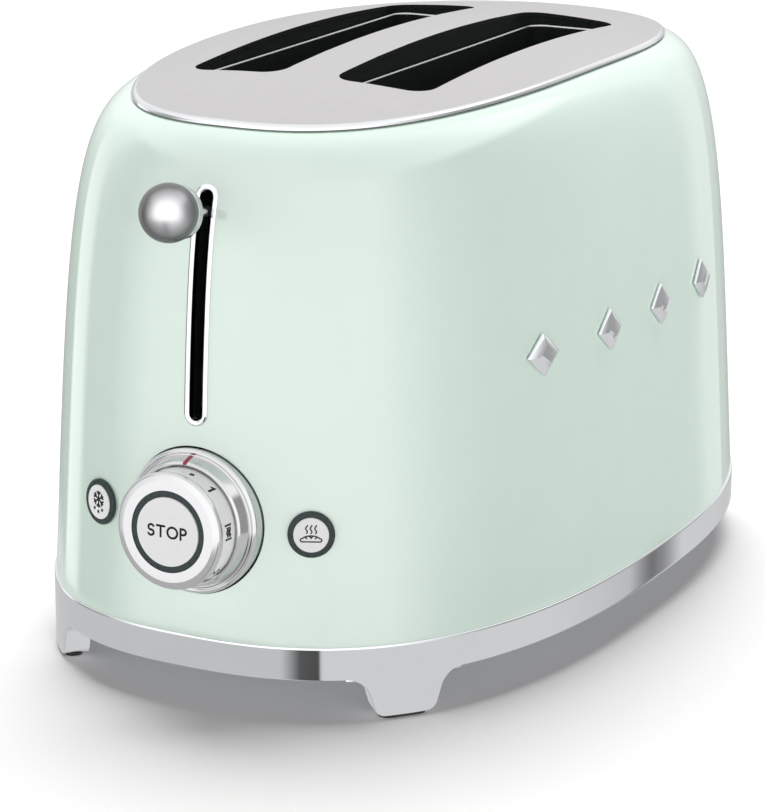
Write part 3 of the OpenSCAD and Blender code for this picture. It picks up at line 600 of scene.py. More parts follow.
def build_panel():
    angles = np.linspace(0, 2 * math.pi, PANEL_AROUND, endpoint=False)
    edge = PANEL_BEVEL / PANEL_HALF[0]
    rows = [panel_row(s, PANEL_SHEET, angles) for s in (0.02, 0.3, 0.6, 0.85, 0.97)]
    for i in range(7):
        a = math.radians(90 * i / 6)
        rows.append(panel_row(1 - edge * (1 - math.cos(a)), PANEL_BEVEL * (1 - math.sin(a)), angles))
    rows += [panel_row(s, 0, angles) for s in (0.96, 0.9, 0.8, 0.65, 0.5, 0.35, 0.2, 0.1, 0.02)]
    faces = loop_faces(len(rows), PANEL_AROUND, closed_rows=False)
    last = (len(rows) - 1) * PANEL_AROUND
    faces += [tuple(range(PANEL_AROUND)), tuple(range(last, last + PANEL_AROUND))]
    mesh = mesh_of("panel", np.concatenate(rows), faces)
    face_outwards(mesh)
    cutters = []
    for side in (-1, 1):
        x, width, length = bread_slot(side)
        cutters.append(prism(round_rect(width, length, BREAD_CORNER, 16), BODY_TOP - 30 * MM,
                             BODY_TOP + 10 * MM, lambda px, py, z, x=x: (x + px, MIDDLE_Y + py, z)))
    result = cut_mesh(mesh, cutters)
    place_piece("steel_top_panel", result, "housing", "satin_steel", None, ("top_panel",))
    result.materials.append(MATERIALS["polished_chrome"])
    result.materials.append(MATERIALS["black_steel"])
    inner = 1 - BRIGHT_EDGE * edge
    for polygon in result.polygons:
        c = polygon.center
        radial = (abs(c.x) / PANEL_HALF[0]) ** CROWN_POWER \
            + (abs(c.y - MIDDLE_Y) / PANEL_HALF[1]) ** CROWN_POWER
        # Painted shade: the satin panel's cut edge round each bread slot is given black steel, where it turns
        # into the dark slot
        if abs(polygon.normal.z) < 0.3 and radial < 0.85:  # a bread slot's cut edge
            polygon.material_index = 2
        if radial > inner ** CROWN_POWER and c.z > panel_z(c.x, c.y - MIDDLE_Y) - PANEL_BEVEL * 1.05:
            polygon.material_index = 1

    def on_panel(points):
        x, y = points[:, 0], points[:, 1] - MIDDLE_Y
        radial = (np.abs(x) / PANEL_HALF[0]) ** CROWN_POWER + (np.abs(y) / PANEL_HALF[1]) ** CROWN_POWER
        flat = np.abs(points[:, 2] - panel_z(x, y)) < ON_PANEL
        bevel = (radial > (1 - edge * BEVEL_MARGIN) ** CROWN_POWER) \
            & (points[:, 2] > panel_z(x, y) - PANEL_BEVEL * BEVEL_MARGIN)
        return flat | bevel

    def panel_normals(points):
        x, y = points[:, 0], points[:, 1] - MIDDLE_Y
        face = np.stack([2 * PANEL_FALL[0] * x / PANEL_HALF[0] ** 2,
                         2 * PANEL_FALL[1] * y / PANEL_HALF[1] ** 2, np.ones(len(x))], 1)
        out = np.stack([np.sign(x) * (np.abs(x) / PANEL_HALF[0]) ** (CROWN_POWER - 1) / PANEL_HALF[0],
                        np.sign(y) * (np.abs(y) / PANEL_HALF[1]) ** (CROWN_POWER - 1) / PANEL_HALF[1],
                        np.zeros(len(x))], 1)
        out /= np.maximum(np.linalg.norm(out, axis=1), 1e-9)[:, None]
        rise = np.clip(1 - (panel_z(x, y) - points[:, 2]) / PANEL_BEVEL, 0, 1)
        tilt = np.where(np.abs(points[:, 2] - panel_z(x, y)) < ON_PANEL, 1, rise)
        normal = face / np.linalg.norm(face, axis=1)[:, None] * tilt[:, None] \
            + out * np.sqrt(np.maximum(1 - tilt ** 2, 0))[:, None]
        return normal / np.linalg.norm(normal, axis=1)[:, None]

    set_normals_where(result, on_panel, panel_normals)


build_panel()


def build_liner_rim(side):
    """Bright rolled edge round the top of a slot liner's throat."""
    x, width, length = bread_slot(side)
    throat = 1.7 * MM
    wall = 0.8 * MM
    radius = 0.55 * MM
    centre_z = panel_z(x, length / 2) - 6 * MM + 2 * MM
    path = round_rect(width - 2 * throat - wall, length - 2 * throat - wall, BREAD_CORNER - throat, 12)
    sides = 10
    verts = []
    count = len(path)
    for i, (px, py) in enumerate(path):
        before, after = Vector(path[i - 1]), Vector(path[(i + 1) % count])
        along = (after - before).normalized()
        out = Vector((along.y, -along.x))
        for k in range(sides):
            a = 2 * math.pi * k / sides
            q = Vector((px, py)) + out * radius * math.cos(a)
            verts.append((x + q.x, MIDDLE_Y + q.y, centre_z + radius * math.sin(a)))
    faces = loop_faces(count, sides)
    name = "liner_rim_left" if side < 0 else "liner_rim_right"
    new_piece(name, verts, faces, "housing", "bare_steel", 60)


for side in (-1, 1):
    build_liner_rim(side)

# ---- Chrome base ring with its feet ----

RING_WALL = 2 * MM
RING_ROUND = 0.35 * MM
RING_LAND = 0.5 * MM
RING_SPACING = 2 * MM
RING_LOW = 14.4 * MM
FOOT_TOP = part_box("base_plate")[0].z
FOOT_TURN = math.radians(52)
FOOT_DEPTH = 9 * MM
FOOT_FLAT = 7.2 * MM
FOOT_CORNER = 4 * MM
FOOT_FILLET = 8 * MM
FOOT_LEAN = math.radians(18)
FOOT_SET_BACK = 0.5 * MM
FOOT_SOLE = ring_box_low.z
TRAY_NOTCH_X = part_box("crumb_tray_handle")[1].x + 1.6 * MM
TRAY_NOTCH_TOP = 23.4 * MM
TRAY_NOTCH_LOW = 16 * MM
NOTCH_CORNER = 0.02 * MM
NOTCH_SILL_STEPS = 30


class Outline:
    """The base ring's outer outline, measured along its length."""

    def __init__(self):
        samples = 14400
        angles = np.linspace(0, 2 * math.pi, samples + 1)
        x, y = superellipse(HALF_WIDTH + RING_PROUD, HALF_LENGTH + RING_PROUD, OUTLINE_POWER, angles)
        steps = np.hypot(np.diff(x), np.diff(y))
        self.along = np.concatenate([[0], np.cumsum(steps)])
        self.length = self.along[-1]
        self.x, self.y, self.angles = x, y, angles

    def at(self, s):
        s = s % self.length
        return np.interp(s, self.along, self.x), np.interp(s, self.along, self.y)

    def inward(self, s):
        x, y = self.at(s)
        hx, hy = HALF_WIDTH + RING_PROUD, HALF_LENGTH + RING_PROUD
        nx = np.sign(x) * (abs(x) / hx) ** (OUTLINE_POWER - 1) / hx
        ny = np.sign(y) * (abs(y) / hy) ** (OUTLINE_POWER - 1) / hy
        size = math.hypot(nx, ny)
        return -nx / size, -ny / size

    def point(self, s, depth, z):
        x, y = self.at(s)
        nx, ny = self.inward(s)
        return (x + nx * depth, y + ny * depth + MIDDLE_Y, z)

    def where(self, angle):
        return float(np.interp(angle % (2 * math.pi), self.angles, self.along))


def foot_edge():
    """One half of a foot's lower edge, from its middle outwards: (distance, height)."""
    side = (FOOT_FLAT + FOOT_CORNER * math.cos(FOOT_LEAN),
            FOOT_SOLE + FOOT_CORNER * (1 - math.sin(FOOT_LEAN)))
    fillet_z = RING_LOW - FOOT_FILLET
    fillet_x = side[0] + (FOOT_FILLET + (fillet_z - side[1]) * math.sin(FOOT_LEAN)) / math.cos(FOOT_LEAN)
    points = [(FOOT_FLAT * k / 4, FOOT_SOLE) for k in range(4)]
    for k in range(11):
        a = math.radians(-90) + (math.radians(90) - FOOT_LEAN) * k / 10
        points.append((FOOT_FLAT + FOOT_CORNER * math.cos(a), FOOT_SOLE + FOOT_CORNER * (1 + math.sin(a))))
    for k in range(15):
        a = math.pi - FOOT_LEAN - (math.pi / 2 - FOOT_LEAN) * k / 14
        points.append((fillet_x + FOOT_FILLET * math.cos(a), fillet_z + FOOT_FILLET * math.sin(a)))
    return points


def whole_foot():
    half = foot_edge()
    return [(-s, z) for s, z in reversed(half[1:])] + half


def skirt(outline, edge, top, near, far, closed):
    """A wall that follows the outline, from a shaped lower edge to a level top, with round edges."""
    count = len(edge)
    r = RING_ROUND
    inward_edge = []
    for i in range(count):
        a = edge[i - 1] if closed or i else edge[i]
        b = edge[(i + 1) % count] if closed or i < count - 1 else edge[i]
        ds, dz = b[0] - a[0], b[1] - a[1]
        if closed and abs(ds) > outline.length / 2:
            ds -= math.copysign(outline.length, ds)
        size = math.hypot(ds, dz)
        inward_edge.append((-dz / size, ds / size))
    arcs = [math.radians(90 * k / 4) for k in range(5)]
    rounding = [(r * (1 - math.sin(a)), r * (1 - math.cos(a))) for a in arcs]
    flat = r + RING_LAND
    rows = [("low", flat, near)]
    rows += [("low", offset, near + back) for offset, back in rounding]
    rows += [("low", offset, far - back) for offset, back in reversed(rounding)]
    rows += [("low", flat, far), ("top", flat, far)]
    rows += [("top", offset, far - back) for offset, back in rounding]
    rows += [("top", offset, near + back) for offset, back in reversed(rounding)]
    rows.append(("top", flat, near))
    verts = []
    for kind, offset, depth in rows:
        for (s, z), (ms, mz) in zip(edge, inward_edge):
            if kind == "low":
                verts.append(outline.point(s + ms * offset, depth, min(z + mz * offset, top - flat)))
            else:
                verts.append(outline.point(s, depth, top - offset))
    faces = loop_faces(len(rows), count, True, closed)
    if not closed:
        faces.append(tuple(i * count for i in range(len(rows))))
        faces.append(tuple(i * count + count - 1 for i in reversed(range(len(rows)))))
    return verts, faces


def build_base_ring():
    outline = Outline()
    foot = whole_foot()
    reach = foot[-1][0]
    places = [outline.where(a) for a in (FOOT_TURN, math.pi - FOOT_TURN, math.pi + FOOT_TURN,
                                         2 * math.pi - FOOT_TURN)]
    notch_turn = math.acos((TRAY_NOTCH_X / (HALF_WIDTH + RING_PROUD)) ** (OUTLINE_POWER / 2))
    notch_s = [outline.where(notch_turn), outline.where(math.pi - notch_turn)]
    edge = []
    for i, place in enumerate(places):
        edge += [(place + s, z) for s, z in foot]
        after = places[(i + 1) % 4] + (outline.length if i == 3 else 0)
        start, end = place + reach, after - reach
        steps = int((end - start) / RING_SPACING)
        between = [(start + (end - start) * k / steps, RING_LOW) for k in range(1, steps)]
        if i == 0:
            before = [p for p in between if p[0] < notch_s[0]]
            beyond = [p for p in between if p[0] > notch_s[1]]
            inside = [(p[0], TRAY_NOTCH_TOP) for p in between if notch_s[0] < p[0] < notch_s[1]]
            between = before + [(notch_s[0] - NOTCH_CORNER, RING_LOW), (notch_s[0], TRAY_NOTCH_TOP)] \
                + inside + [(notch_s[1], TRAY_NOTCH_TOP), (notch_s[1] + NOTCH_CORNER, RING_LOW)] + beyond
        edge += between
    verts, faces = skirt(outline, edge, RING_TOP, 0, RING_WALL, True)
    under_notch = [(notch_s[0] + (notch_s[1] - notch_s[0]) * k / NOTCH_SILL_STEPS, RING_LOW)
                   for k in range(NOTCH_SILL_STEPS + 1)]
    parts = [skirt(outline, under_notch, TRAY_NOTCH_LOW, 0, RING_WALL, False)]
    parts += [skirt(outline, [(place + s, z) for s, z in foot], FOOT_TOP, FOOT_SET_BACK, FOOT_DEPTH,
                    False) for place in places]
    for more, more_faces in parts:
        start = len(verts)
        verts = verts + more
        faces = faces + [tuple(start + v for v in f) for f in more_faces]
    new_piece("chrome_base_ring", verts, faces, "housing", "polished_chrome", 40, ("base_ring",))


build_base_ring()

# ---- Lever ----

STEM_TILT = math.radians(10)
ball_low, ball_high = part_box("lever_ball")
BALL_RADIUS = (ball_high.x - ball_low.x) / 2
BALL_MIDDLE = Vector(((ball_low.x + ball_high.x) / 2, ball_low.y + BALL_RADIUS,
                      ball_high.z - BALL_RADIUS))
BALL_FLAT = 5 * MM
AXIS_RADIUS = 0.0001 * MM
STEM_RADIUS = 1.7 * MM
STEM_END = 1.5 * MM


def along_stem(x, y, reach):
    """Maps (x, y, reach) round the lever's stem to the world, with reach 0 at the ball's middle."""
    out = Vector((0, -math.cos(STEM_TILT), math.sin(STEM_TILT)))
    up = Vector((0, math.sin(STEM_TILT), math.cos(STEM_TILT)))
    return tuple(BALL_MIDDLE + Vector((x, 0, 0)) + up * y + out * reach)


def front_y(x, z):
    """The shell's front face over a point seen from the front."""
    u = (z - RING_TOP) / (crown_z(HALF_LENGTH) - RING_TOP)
    inset, power = shell_inset(u), shell_power(u)
    share = 1 - (abs(x) / (HALF_WIDTH - inset)) ** power
    return MIDDLE_Y - (HALF_LENGTH - inset) * share ** (1 / power)


SLOT_FRAME_BORDER = 1.85 * MM


def build_slot_frame():
    """Bright frame round the lever's slot, with a thin lip that goes in through the shell."""
    middle_x = (slot_low.x + slot_high.x) / 2
    half = (slot_high.x - slot_low.x) / 2 - SLOT_FRAME_BORDER
    ends = (slot_high.z - SLOT_FRAME_BORDER - half, slot_low.z + SLOT_FRAME_BORDER + half)
    profile = mm_profile([(0.3, 0.03), (1.83, 0.03), (1.83, 0.45), (1.2, 0.74), (0.5, 0.74),
                          (0, 0.3), (0, -2.2), (0.3, -2.2)], [0, 0, 0.3, 0.3, 0.3, 0.2, 0, 0])
    round_steps, straight_steps = 24, 40
    path = []
    for number, (start, last, across) in enumerate(((*ends, -1), (*reversed(ends), 1))):
        for k in range(round_steps + 1):
            a = math.pi * (number + k / round_steps)
            path.append((start, math.cos(a), math.sin(a)))
        path += [(start + (last - start) * k / straight_steps, across, 0)
                 for k in range(1, straight_steps)]
    verts = []
    for z, across, up in path:
        for offset, reach in profile:
            px, pz = middle_x + across * (half + offset), z + up * (half + offset)
            verts.append((px, front_y(px, pz) - reach, pz))
    new_piece("chrome_lever_slot_frame", verts, loop_faces(len(path), len(profile)), "housing",
              "polished_chrome", 50, ("lever_slot_bezel",))


build_slot_frame()


def build_ball():
    steps = 48
    start = -math.asin(BALL_FLAT / BALL_RADIUS)
    profile = []
    for k in range(steps + 1):
        a = start + (math.pi / 2 - 0.0005 - start) * k / steps
        profile.append((BALL_RADIUS * math.cos(a), BALL_RADIUS * math.sin(a)))
    profile += [(AXIS_RADIUS, 0), (AXIS_RADIUS, profile[0][1])]
    ball = lathe("polished_lever_ball", profile, along_stem, "carriage", "ball_chrome", 96, 60,
                 ("lever_ball",))
    ball.visible_glossy = False


def build_stem():
    """Cup behind the ball and the round stem that goes into the slot."""
    cup = mm_profile([(1.7, -7.2), (7.6, -7.2), (8.6, -6.4), (8.7, -3.9), (8.55, -3.9), (7.96, -5.0),
                      (1.7, -5.0)], [0, 0.8, 0.6, 0.05, 0, 0, 0])
    cup_piece = lathe("polished_lever_cup", cup, along_stem, "carriage", "chrome_with_painted_shade", 96, 50,
                      ("lever_neck",))
    cup_piece.visible_glossy = False
    stem_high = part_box("lever_stem")[1]
    length = (stem_high.y - BALL_MIDDLE.y) / math.cos(STEM_TILT) - STEM_END
    rod = [(AXIS_RADIUS, -length), (STEM_RADIUS, -length), (STEM_RADIUS, -BALL_FLAT),
           (AXIS_RADIUS, -BALL_FLAT)]
    lathe("round_lever_stem", rod, along_stem, "carriage", "bare_steel", 48, 50, ("lever_stem",))


build_ball()
build_stem()

# ---- Dial ----


def build_dial():
    rim = BEZEL_RADIUS / MM
    turned = (
        ("chrome_dial_bezel", "dial_bezel", "housing", "chrome_with_painted_shade", 160, 50,
         [(4.05, -3), (rim - 1.5, -3), (rim - 1.5, -5), (rim, -5), (rim, 1.5), (rim - 0.9, 2.4),
          (rim - 1.9, 2.0), (21.7, 2.3), (20.5, 5.9), (19.9, 6.5), (19.3, 6.4), (19.3, 0.2), (4.05, 0.2)],
         [0, 0, 0, 0, 0.9, 0.6, 0.6, 0.8, 0.8, 0.3, 0.15, 0, 0]),
        ("chrome_dial_knob", "dial_knob", "dial", "chrome_with_painted_shade", 160, 50,
         [(13.4, 13.9), (18.9, 13.9), (19.2, 14.4), (19.2, 15.0), (18.6, 16.1), (16.6, 16.45),
          (13.4, 16.45)], [0, 0.2, 0.3, 0.6, 1.0, 0.6, 0.1]),
        ("dial_scale_skirt", "dial_skirt", "dial", "light_plastic", 160, 40,
         [(17.2, 1.0), (18.9, 1.0), (18.7, 13.9), (17.2, 13.9)], [0, 0.2, 0, 0]),
        ("dark_face_ring", "dial_face_ring", "dial", "dark_plastic", 128, 40,
         [(11.4, 6.0), (13.4, 6.0), (13.4, 16.25), (11.4, 16.25)], [0, 0, 0.2, 0.2]),
        ("stop_button_cap", "stop_button", "stop_button", "light_plastic", 128, 40,
         [(0.001, 9.7), (11.3, 9.7), (11.3, 16.7), (0.001, 16.7)], [0, 0.2, 0.3, 0]),
    )
    for name, node, body, slot, segments, angle, points, radii in turned:
        lathe(name, mm_profile(points, radii), facing_dial, body, slot, segments, angle, (node,))


build_dial()


def build_side_buttons():
    for side, ring_node, button_node in ((-1, "defrost_ring", "defrost_button"),
                                         (1, "reheat_ring", "reheat_button")):
        place = button_place(side)
        ring = mm_profile([(5.75, -5), (6.5, -5), (6.5, 0.05), (7.6, 0.05), (7.6, 0.75), (7.1, 1.05),
                           (5.75, 1.05)], [0, 0, 0, 0, 0.25, 0.2, 0.15])
        lathe("dark_" + ring_node, ring, place, "housing", "dark_plastic", 96, 40, (ring_node,))
        cap = mm_profile([(0.001, -3), (5.7, -3), (5.7, 1.3), (0.001, 1.3)], [0, 0, 0.3, 0])
        lathe(button_node + "_cap", cap, place, button_node, "light_plastic", 96, 40, (button_node,))


build_side_buttons()

# ---- Marks: thin raised strokes ----

MARK_HEIGHT = 0.04 * MM
MARK_ROOT = -0.1 * MM
LETTER_GAP = 0.32
SKIRT_MIDDLE = 10.2 * MM
SKIRT_RADIUS = 18.9 * MM
SKIRT_NARROWING = 0.2
SKIRT_HEIGHT = 12.9
STOP_TOP = 16.7 * MM
BUTTON_TOP = 1.3 * MM


def arc(cx, cy, rx, ry, start, end, count=14):
    return [(cx + rx * math.cos(math.radians(start + (end - start) * k / count)),
             cy + ry * math.sin(math.radians(start + (end - start) * k / count)))
            for k in range(count + 1)]


def stroke_outline(points, width, round_ends=True):
    """Closed outline of a line of constant width along a polyline."""
    path = [Vector(p) for p in points]
    half = width / 2
    sides = []
    for i, p in enumerate(path):
        before = (p - path[i - 1]).normalized() if i else None
        after = (path[i + 1] - p).normalized() if i < len(path) - 1 else None
        if before and after:
            along = (before + after).normalized()
            reach = half / max(0.4, math.sqrt(max(0.0, (1 + before.dot(after)) / 2)))
        else:
            along, reach = before or after, half
        sides.append(Vector((-along.y, along.x)) * reach)
    outline = [p + s for p, s in zip(path, sides)]
    if round_ends:
        outline += cap_points(path[-1], sides[-1], half)
    outline += [p - s for p, s in reversed(list(zip(path, sides)))]
    if round_ends:
        outline += cap_points(path[0], -sides[0], half)
    return [tuple(p) for p in outline]


def cap_points(end, side, half):
    start = math.atan2(side.y, side.x)
    return [end + Vector((math.cos(start - math.pi * k / 6), math.sin(start - math.pi * k / 6))) * half
            for k in range(1, 6)]


def build_mark(name, strokes, place, body, slot, width, round_ends=True):
    """One piece for a whole mark; each stroke is a polyline, or a closed outline marked solid."""
    verts, faces = [], []
    for number, stroke in enumerate(strokes):
        solid = stroke[0] == "solid"
        outline = stroke[1] if solid else stroke_outline(stroke, width, round_ends)
        top = MARK_HEIGHT * (1 + 0.15 * (number % 5))
        more, more_faces = prism([(x * MM, y * MM) for x, y in outline], MARK_ROOT, top, place)
        start = len(verts)
        verts += more
        faces += [tuple(start + v for v in f) for f in more_faces]
    new_piece(name, verts, faces, body, slot)


def letters(text, size):
    """Strokes of plain round letters and digits, in a box as high as size, from x = 0."""
    round_letter = [arc(0.52, 0.5, 0.52, 0.5, 90, 450, 32)]
    shapes = {
        "S": (0.6, [arc(0.31, 0.745, 0.28, 0.255, 28, 262) + arc(0.29, 0.255, 0.30, 0.255, 82, -152)]),
        "T": (0.8, [[(0, 1), (0.8, 1)], [(0.4, 1), (0.4, 0)]]),
        "O": (1.04, round_letter),
        "P": (0.6, [[(0.03, 0), (0.03, 1), (0.3, 1)] + arc(0.31, 0.735, 0.28, 0.265, 90, -90)
                    + [(0.03, 0.47)]]),
        "1": (0.32, [[(0.02, 0.76), (0.28, 1), (0.28, 0)]]),
        "2": (0.6, [arc(0.3, 0.7, 0.29, 0.3, 165, -30) + [(0.02, 0), (0.6, 0)]]),
        "3": (0.6, [arc(0.28, 0.74, 0.26, 0.26, 150, -80) + arc(0.28, 0.26, 0.3, 0.26, 80, -150)]),
        "4": (0.66, [[(0.66, 0.27), (0.02, 0.27), (0.48, 1), (0.48, 0)]]),
        "5": (0.6, [[(0.55, 1), (0.1, 1), (0.06, 0.56)] + arc(0.28, 0.33, 0.31, 0.33, 130, -150)]),
        "6": (0.62, [[(0.46, 1)] + arc(0.31, 0.31, 0.3, 0.31, 150, 510, 26)]),
    }
    strokes, x = [], 0
    for letter in text:
        wide, parts = shapes[letter]
        strokes += [[(x + px * size, py * size) for px, py in part] for part in parts]
        x += (wide + LETTER_GAP) * size
    return strokes, x - LETTER_GAP * size


def centred(strokes, width, size, x=0, y=0):
    return [[(px - width / 2 + x, py - size / 2 + y) for px, py in s] for s in strokes]


def on_cap(place, reach):
    return lambda x, y, r: place(x, y, reach + r)


def on_skirt(angle):
    """Maps a mark on to the dial's skirt; its middle is at this many degrees clockwise from the top."""
    def place(x, y, r):
        reach = SKIRT_MIDDLE - y
        radius = SKIRT_RADIUS - (reach - MM) * SKIRT_NARROWING / SKIRT_HEIGHT + r
        a = math.radians(90 - angle) - x / radius
        return facing_dial(radius * math.cos(a), radius * math.sin(a), reach)
    return place


def build_dial_marks():
    size = 4.1 - 0.6
    strokes, width = letters("STOP", size)
    build_mark("stop_letters", centred(strokes, width, size), on_cap(facing_dial, STOP_TOP),
               "stop_button", "dark_print", 0.72)
    build_mark("dial_mark_dot", [("solid", circle_points(0.9, 20))], on_skirt(15.5), "dial",
               "dark_print", 0.5)
    size = 3.4
    for number, angle in ((1, 40), (2, 132), (3, 176), (4, 220), (5, 264), (6, 308)):
        strokes, width = letters(str(number), size)
        build_mark("dial_number_%d" % number, centred(strokes, width, size), on_skirt(angle), "dial",
                   "dark_print", 0.75)
    dots = [("solid", [(x + a, y - 3) for x, y in circle_points(0.35, 14)]) for a in (-0.9, 0.9)]
    build_mark("dial_mark_pair", dots, on_skirt(-13), "dial", "dark_print", 0.5)
    frame_box = [(-2.3, -1.6), (2.3, -1.6), (2.3, 1.6), (-2.3, 1.6), (-2.3, -1.6)]
    waves = [[(x + 0.42 * math.sin(k * 1.1), -1.05 + 2.1 * k / 8) for k in range(9)]
             for x in (-1.25, 0, 1.25)]
    turned = [[(y * 1.35, x * 0.68) for x, y in wave] for wave in waves]
    build_mark("dial_mark_heat", [frame_box] + turned, on_skirt(86), "dial", "dark_print", 0.6)


def build_button_marks():
    flake = []
    for k in range(6):
        a = math.radians(60 * k + 90)
        along, side = Vector((math.cos(a), math.sin(a))), Vector((-math.sin(a), math.cos(a)))
        flake.append([(0, 0), tuple(along * 2.6)])
        flake.append([tuple(along * 2.35 + side * 0.8), tuple(along * 1.5), tuple(along * 2.35 - side * 0.8)])
    flake = [[(x, y + 0.95) for x, y in stroke] for stroke in flake]
    drops = [("solid", [(px + x, 1.15 * py + y) for px, py in circle_points(0.5, 16)])
             for x, y in ((-2.0, -2.35), (0, -3.2), (2.0, -2.35))]
    build_mark("defrost_symbol", flake + drops, on_cap(button_place(-1), BUTTON_TOP), "defrost_button",
               "dark_print", 0.6)
    steam = [[(x + 0.28 * math.sin(k * math.pi / 4), 0.62 + 2.65 * k / 10) for k in range(11)]
             for x in (-1.45, 0, 1.45)]
    bun = [arc(-2.75, -1.6, 0.65, 0.55, 90, 270) + arc(2.75, -1.6, 0.65, 0.55, -90, 90)
           + [(2.4, -0.75), (1.4, -0.32), (0, -0.16), (-1.4, -0.32), (-2.4, -0.75), (-2.75, -1.05)]]
    cuts = [[(-1.9, -0.6), (-1.35, -1.1)], [(-0.55, -0.3), (0, -0.95), (0.55, -0.3)],
            [(1.9, -0.6), (1.35, -1.1)]]
    build_mark("reheat_symbol", steam + bun + cuts, on_cap(button_place(1), BUTTON_TOP), "reheat_button",
               "dark_print", 0.42)


build_dial_marks()
build_button_marks()

# ---- Lift spring, as a helix round the guide rod ----


def build_spring():
    low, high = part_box("lift_spring")
    wire = 0.6 * MM
    radius = (high.x - low.x) / 2 - wire
    turns, sides, steps = 13, 10, 30
    middle = ((low.x + high.x) / 2, (low.y + high.y) / 2)
    verts = []
    count = turns * steps + 1
    for i in range(count):
        a = 2 * math.pi * i / steps
        share = i / (count - 1)
        # The end turns lie flat, so they take little of the height
        lift = share - 0.028 * math.sin(2 * math.pi * share) * (1 if 0.1 < share < 0.9 else 1.6)
        z = low.z + wire + (high.z - low.z - 2 * wire) * lift
        for k in range(sides):
            b = 2 * math.pi * k / sides
            r = radius + wire * math.cos(b)
            verts.append((middle[0] + r * math.cos(a), middle[1] + r * math.sin(a), z + wire * math.sin(b)))
    faces = loop_faces(count, sides, closed_rows=False)
    faces += [tuple(range(sides)), tuple(range((count - 1) * sides, count * sides))]
    piece = new_piece("helical_lift_spring", verts, faces, "housing", "spring_steel", 60, ("lift_spring",))
    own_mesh(piece)


build_spring()

# ---- Softened edges on the other visible parts ----

for node, width in (("trim_studs", 0.35), ("crumb_tray_handle", 0.4),
                    ("cord_gland", 0.3), ("cord_wrap_hooks", 0.5), ("index_mark", 0.2)):
    softened(node, width * MM)

# ---- Camera ----

CAMERA_TURN = math.radians(28.23)
CAMERA_RISE = math.radians(16.18)
CAMERA_PLACE = Vector((0.5444, MIDDLE_Y - 1.0345, 0.4016))
PHOTO_HEIGHT = 812
FOCAL_PIXELS = 3394.8
SENSOR = 36.0


def build_camera():
    data = bpy.data.cameras.new("camera")
    data.sensor_width = SENSOR
    data.sensor_fit = "AUTO"
    data.lens = FOCAL_PIXELS * SENSOR / PHOTO_HEIGHT
    data.clip_start = 0.01
    camera = add_object("camera", data)
    back = Vector((math.sin(CAMERA_TURN) * math.cos(CAMERA_RISE),
                   -math.cos(CAMERA_TURN) * math.cos(CAMERA_RISE), math.sin(CAMERA_RISE)))
    right = Vector((math.cos(CAMERA_TURN), math.sin(CAMERA_TURN), 0))
    up = back.cross(right)
    camera.matrix_world = Matrix((
        (right.x, up.x, back.x, CAMERA_PLACE.x), (right.y, up.y, back.y, CAMERA_PLACE.y),
        (right.z, up.z, back.z, CAMERA_PLACE.z), (0, 0, 0, 1)))
    bpy.context.scene.camera = camera


build_camera()

# ---- Studio ----


# What polished surfaces see, by azimuth in degrees from the front towards +X: soft boxes and
# dark cards in five belts of height
STUDIO_PEAK = 2.0
BELOW = [(-180, 0.63), (5, 0.63), (15, 0.11), (26.2, 0.08), (26.8, 0.74), (130, 0.74), (146, 0.65),
         (152, 0.59), (156, 0.17), (160, 0.72), (180, 0.66)]
LOW = [(-180, 0.45), (-140, 0.35), (-116, 0.25), (-113, 1.35), (-99, 1.25), (-92, 0.3), (-88, 0.3),
       (-66, 0.4), (-45, 1.25), (-20, 1.55), (60, 1.45), (75, 1.1), (90, 0.7), (110, 0.4), (135, 0.4),
       (163, 0.45), (170, 0.8), (180, 0.8)]
LEVEL = [(-180, 1.1), (-140, 1), (-130, 1), (-122, 1), (-95, 0.9), (-80, 0.5), (-66, 0.5), (-45, 1.15),
         (-20, 1.5), (60, 1.5), (90, 0.75), (110, 0.4), (130, 0.45), (158, 0.85), (166, 1.1), (180, 0.95)]
RAISED = [(-180, 1), (-146, 1), (-125, 1), (-100, 1.1), (-75, 1.2), (0, 1.4), (90, 1.2), (125, 1.4),
          (140, 1.7), (170, 1.7), (176, 1.5), (180, 1)]
OVERHEAD = 1.1

# Heights of the direction seen (-1 down, 1 up) between which one belt gives way to the next
BELOW_TO_LOW = (-0.3, -0.285)
LOW_TO_LEVEL = (-0.2, 0.26)
LEVEL_TO_RAISED = (0.5, 0.6)
RAISED_TO_OVERHEAD = (0.72, 0.95)

# What matt surfaces get, from low directions and from high ones
DIFFUSE_LOW = 1.26
DIFFUSE_HIGH = 0.15
DIFFUSE_CHANGE = (0.3, 0.5)

BACKDROP = 1.0
FLOOR_HALF = 6.0
KEY_ENERGY = 3.45
KEY_SPREAD = math.radians(48)
KEY_DIRECTION = Vector((0.17, -0.36, -0.9))


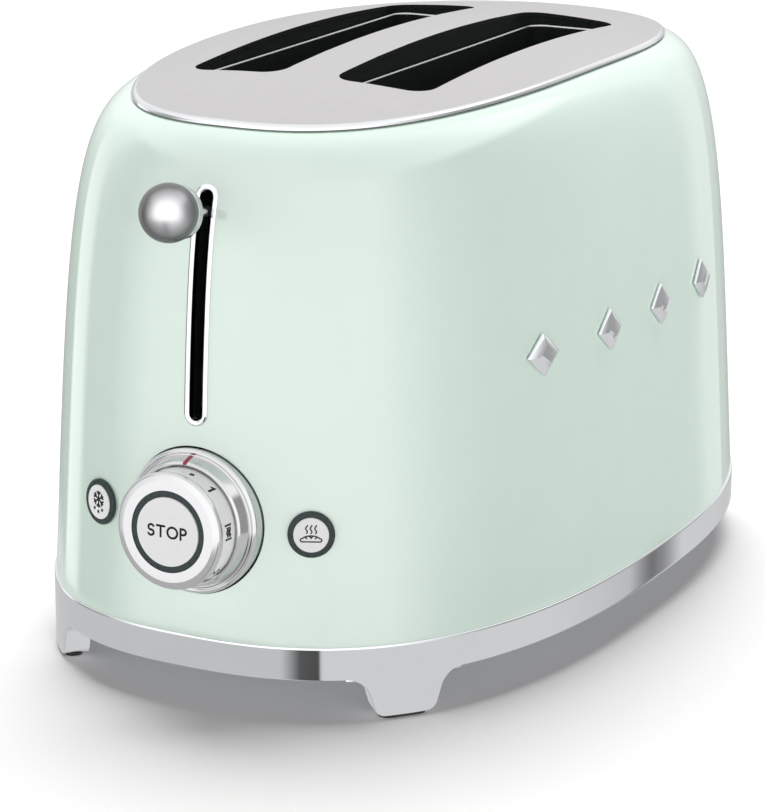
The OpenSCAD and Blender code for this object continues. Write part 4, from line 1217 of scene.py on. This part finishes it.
def studio_world():
    world = bpy.data.worlds.new("studio")
    world.cycles.sampling_method = "NONE"
    world.use_nodes = True
    tree = world.node_tree

    def math_node(operation, *values):
        node = new_node(tree, "ShaderNodeMath", dict(enumerate(values)))
        node.operation = operation
        return node.outputs[0]

    def mix(share, first, second):
        node = new_node(tree, "ShaderNodeMix", {})
        node.data_type = "FLOAT"
        feed(tree, node, {0: share, 2: first, 3: second})
        return node.outputs[0]

    def step(value, span):
        return new_node(tree, "ShaderNodeMapRange", {
            "Value": value, "From Min": span[0], "From Max": span[1]}).outputs["Result"]

    place = new_node(tree, "ShaderNodeTexCoord", {}).outputs["Generated"]
    x, y, z = new_node(tree, "ShaderNodeSeparateXYZ", {0: place}).outputs
    turn = math_node("ARCTAN2", x, math_node("MULTIPLY", y, -1.0))
    share = math_node("MULTIPLY_ADD", turn, 1 / (2 * math.pi), 0.5)

    def belt(stops):
        levels = [((azimuth + 180) / 360, (value / STUDIO_PEAK,) * 3) for azimuth, value in stops]
        return math_node("MULTIPLY", color_ramp(tree, share, levels), STUDIO_PEAK)

    seen = mix(step(z, BELOW_TO_LOW), belt(BELOW), belt(LOW))
    seen = mix(step(z, LOW_TO_LEVEL), seen, belt(LEVEL))
    seen = mix(step(z, LEVEL_TO_RAISED), seen, belt(RAISED))
    seen = mix(step(z, RAISED_TO_OVERHEAD), seen, OVERHEAD)
    path = new_node(tree, "ShaderNodeLightPath", {})
    soft = mix(step(z, DIFFUSE_CHANGE), DIFFUSE_LOW, DIFFUSE_HIGH)
    strength = mix(path.outputs["Is Glossy Ray"], soft, seen)
    strength = mix(path.outputs["Is Camera Ray"], strength, BACKDROP)
    feed(tree, tree.nodes["Background"], {"Color": (1, 1, 1, 1), "Strength": strength})
    return world


def build_studio():
    scene = bpy.context.scene
    scene.view_settings.view_transform = "Standard"
    scene.world = studio_world()
    corners = ((-1, -1), (1, -1), (1, 1), (-1, 1))
    mesh = mesh_of("floor", [(x * FLOOR_HALF, y * FLOOR_HALF, 0) for x, y in corners], [(0, 1, 2, 3)])
    floor = add_object("floor", mesh)
    floor.visible_glossy = False
    mesh.materials.append(finish("floor_paper", (0.87, 0.86, 0.86), roughness=0.9, vary=0.004, scale=3,
                                 specular=0.0))
    data = bpy.data.lights.new("key", "SUN")
    data.energy = KEY_ENERGY
    data.angle = KEY_SPREAD
    key = add_object("key", data)
    key.visible_glossy = False
    key.rotation_euler = KEY_DIRECTION.to_track_quat("-Z", "Y").to_euler()


build_studio()
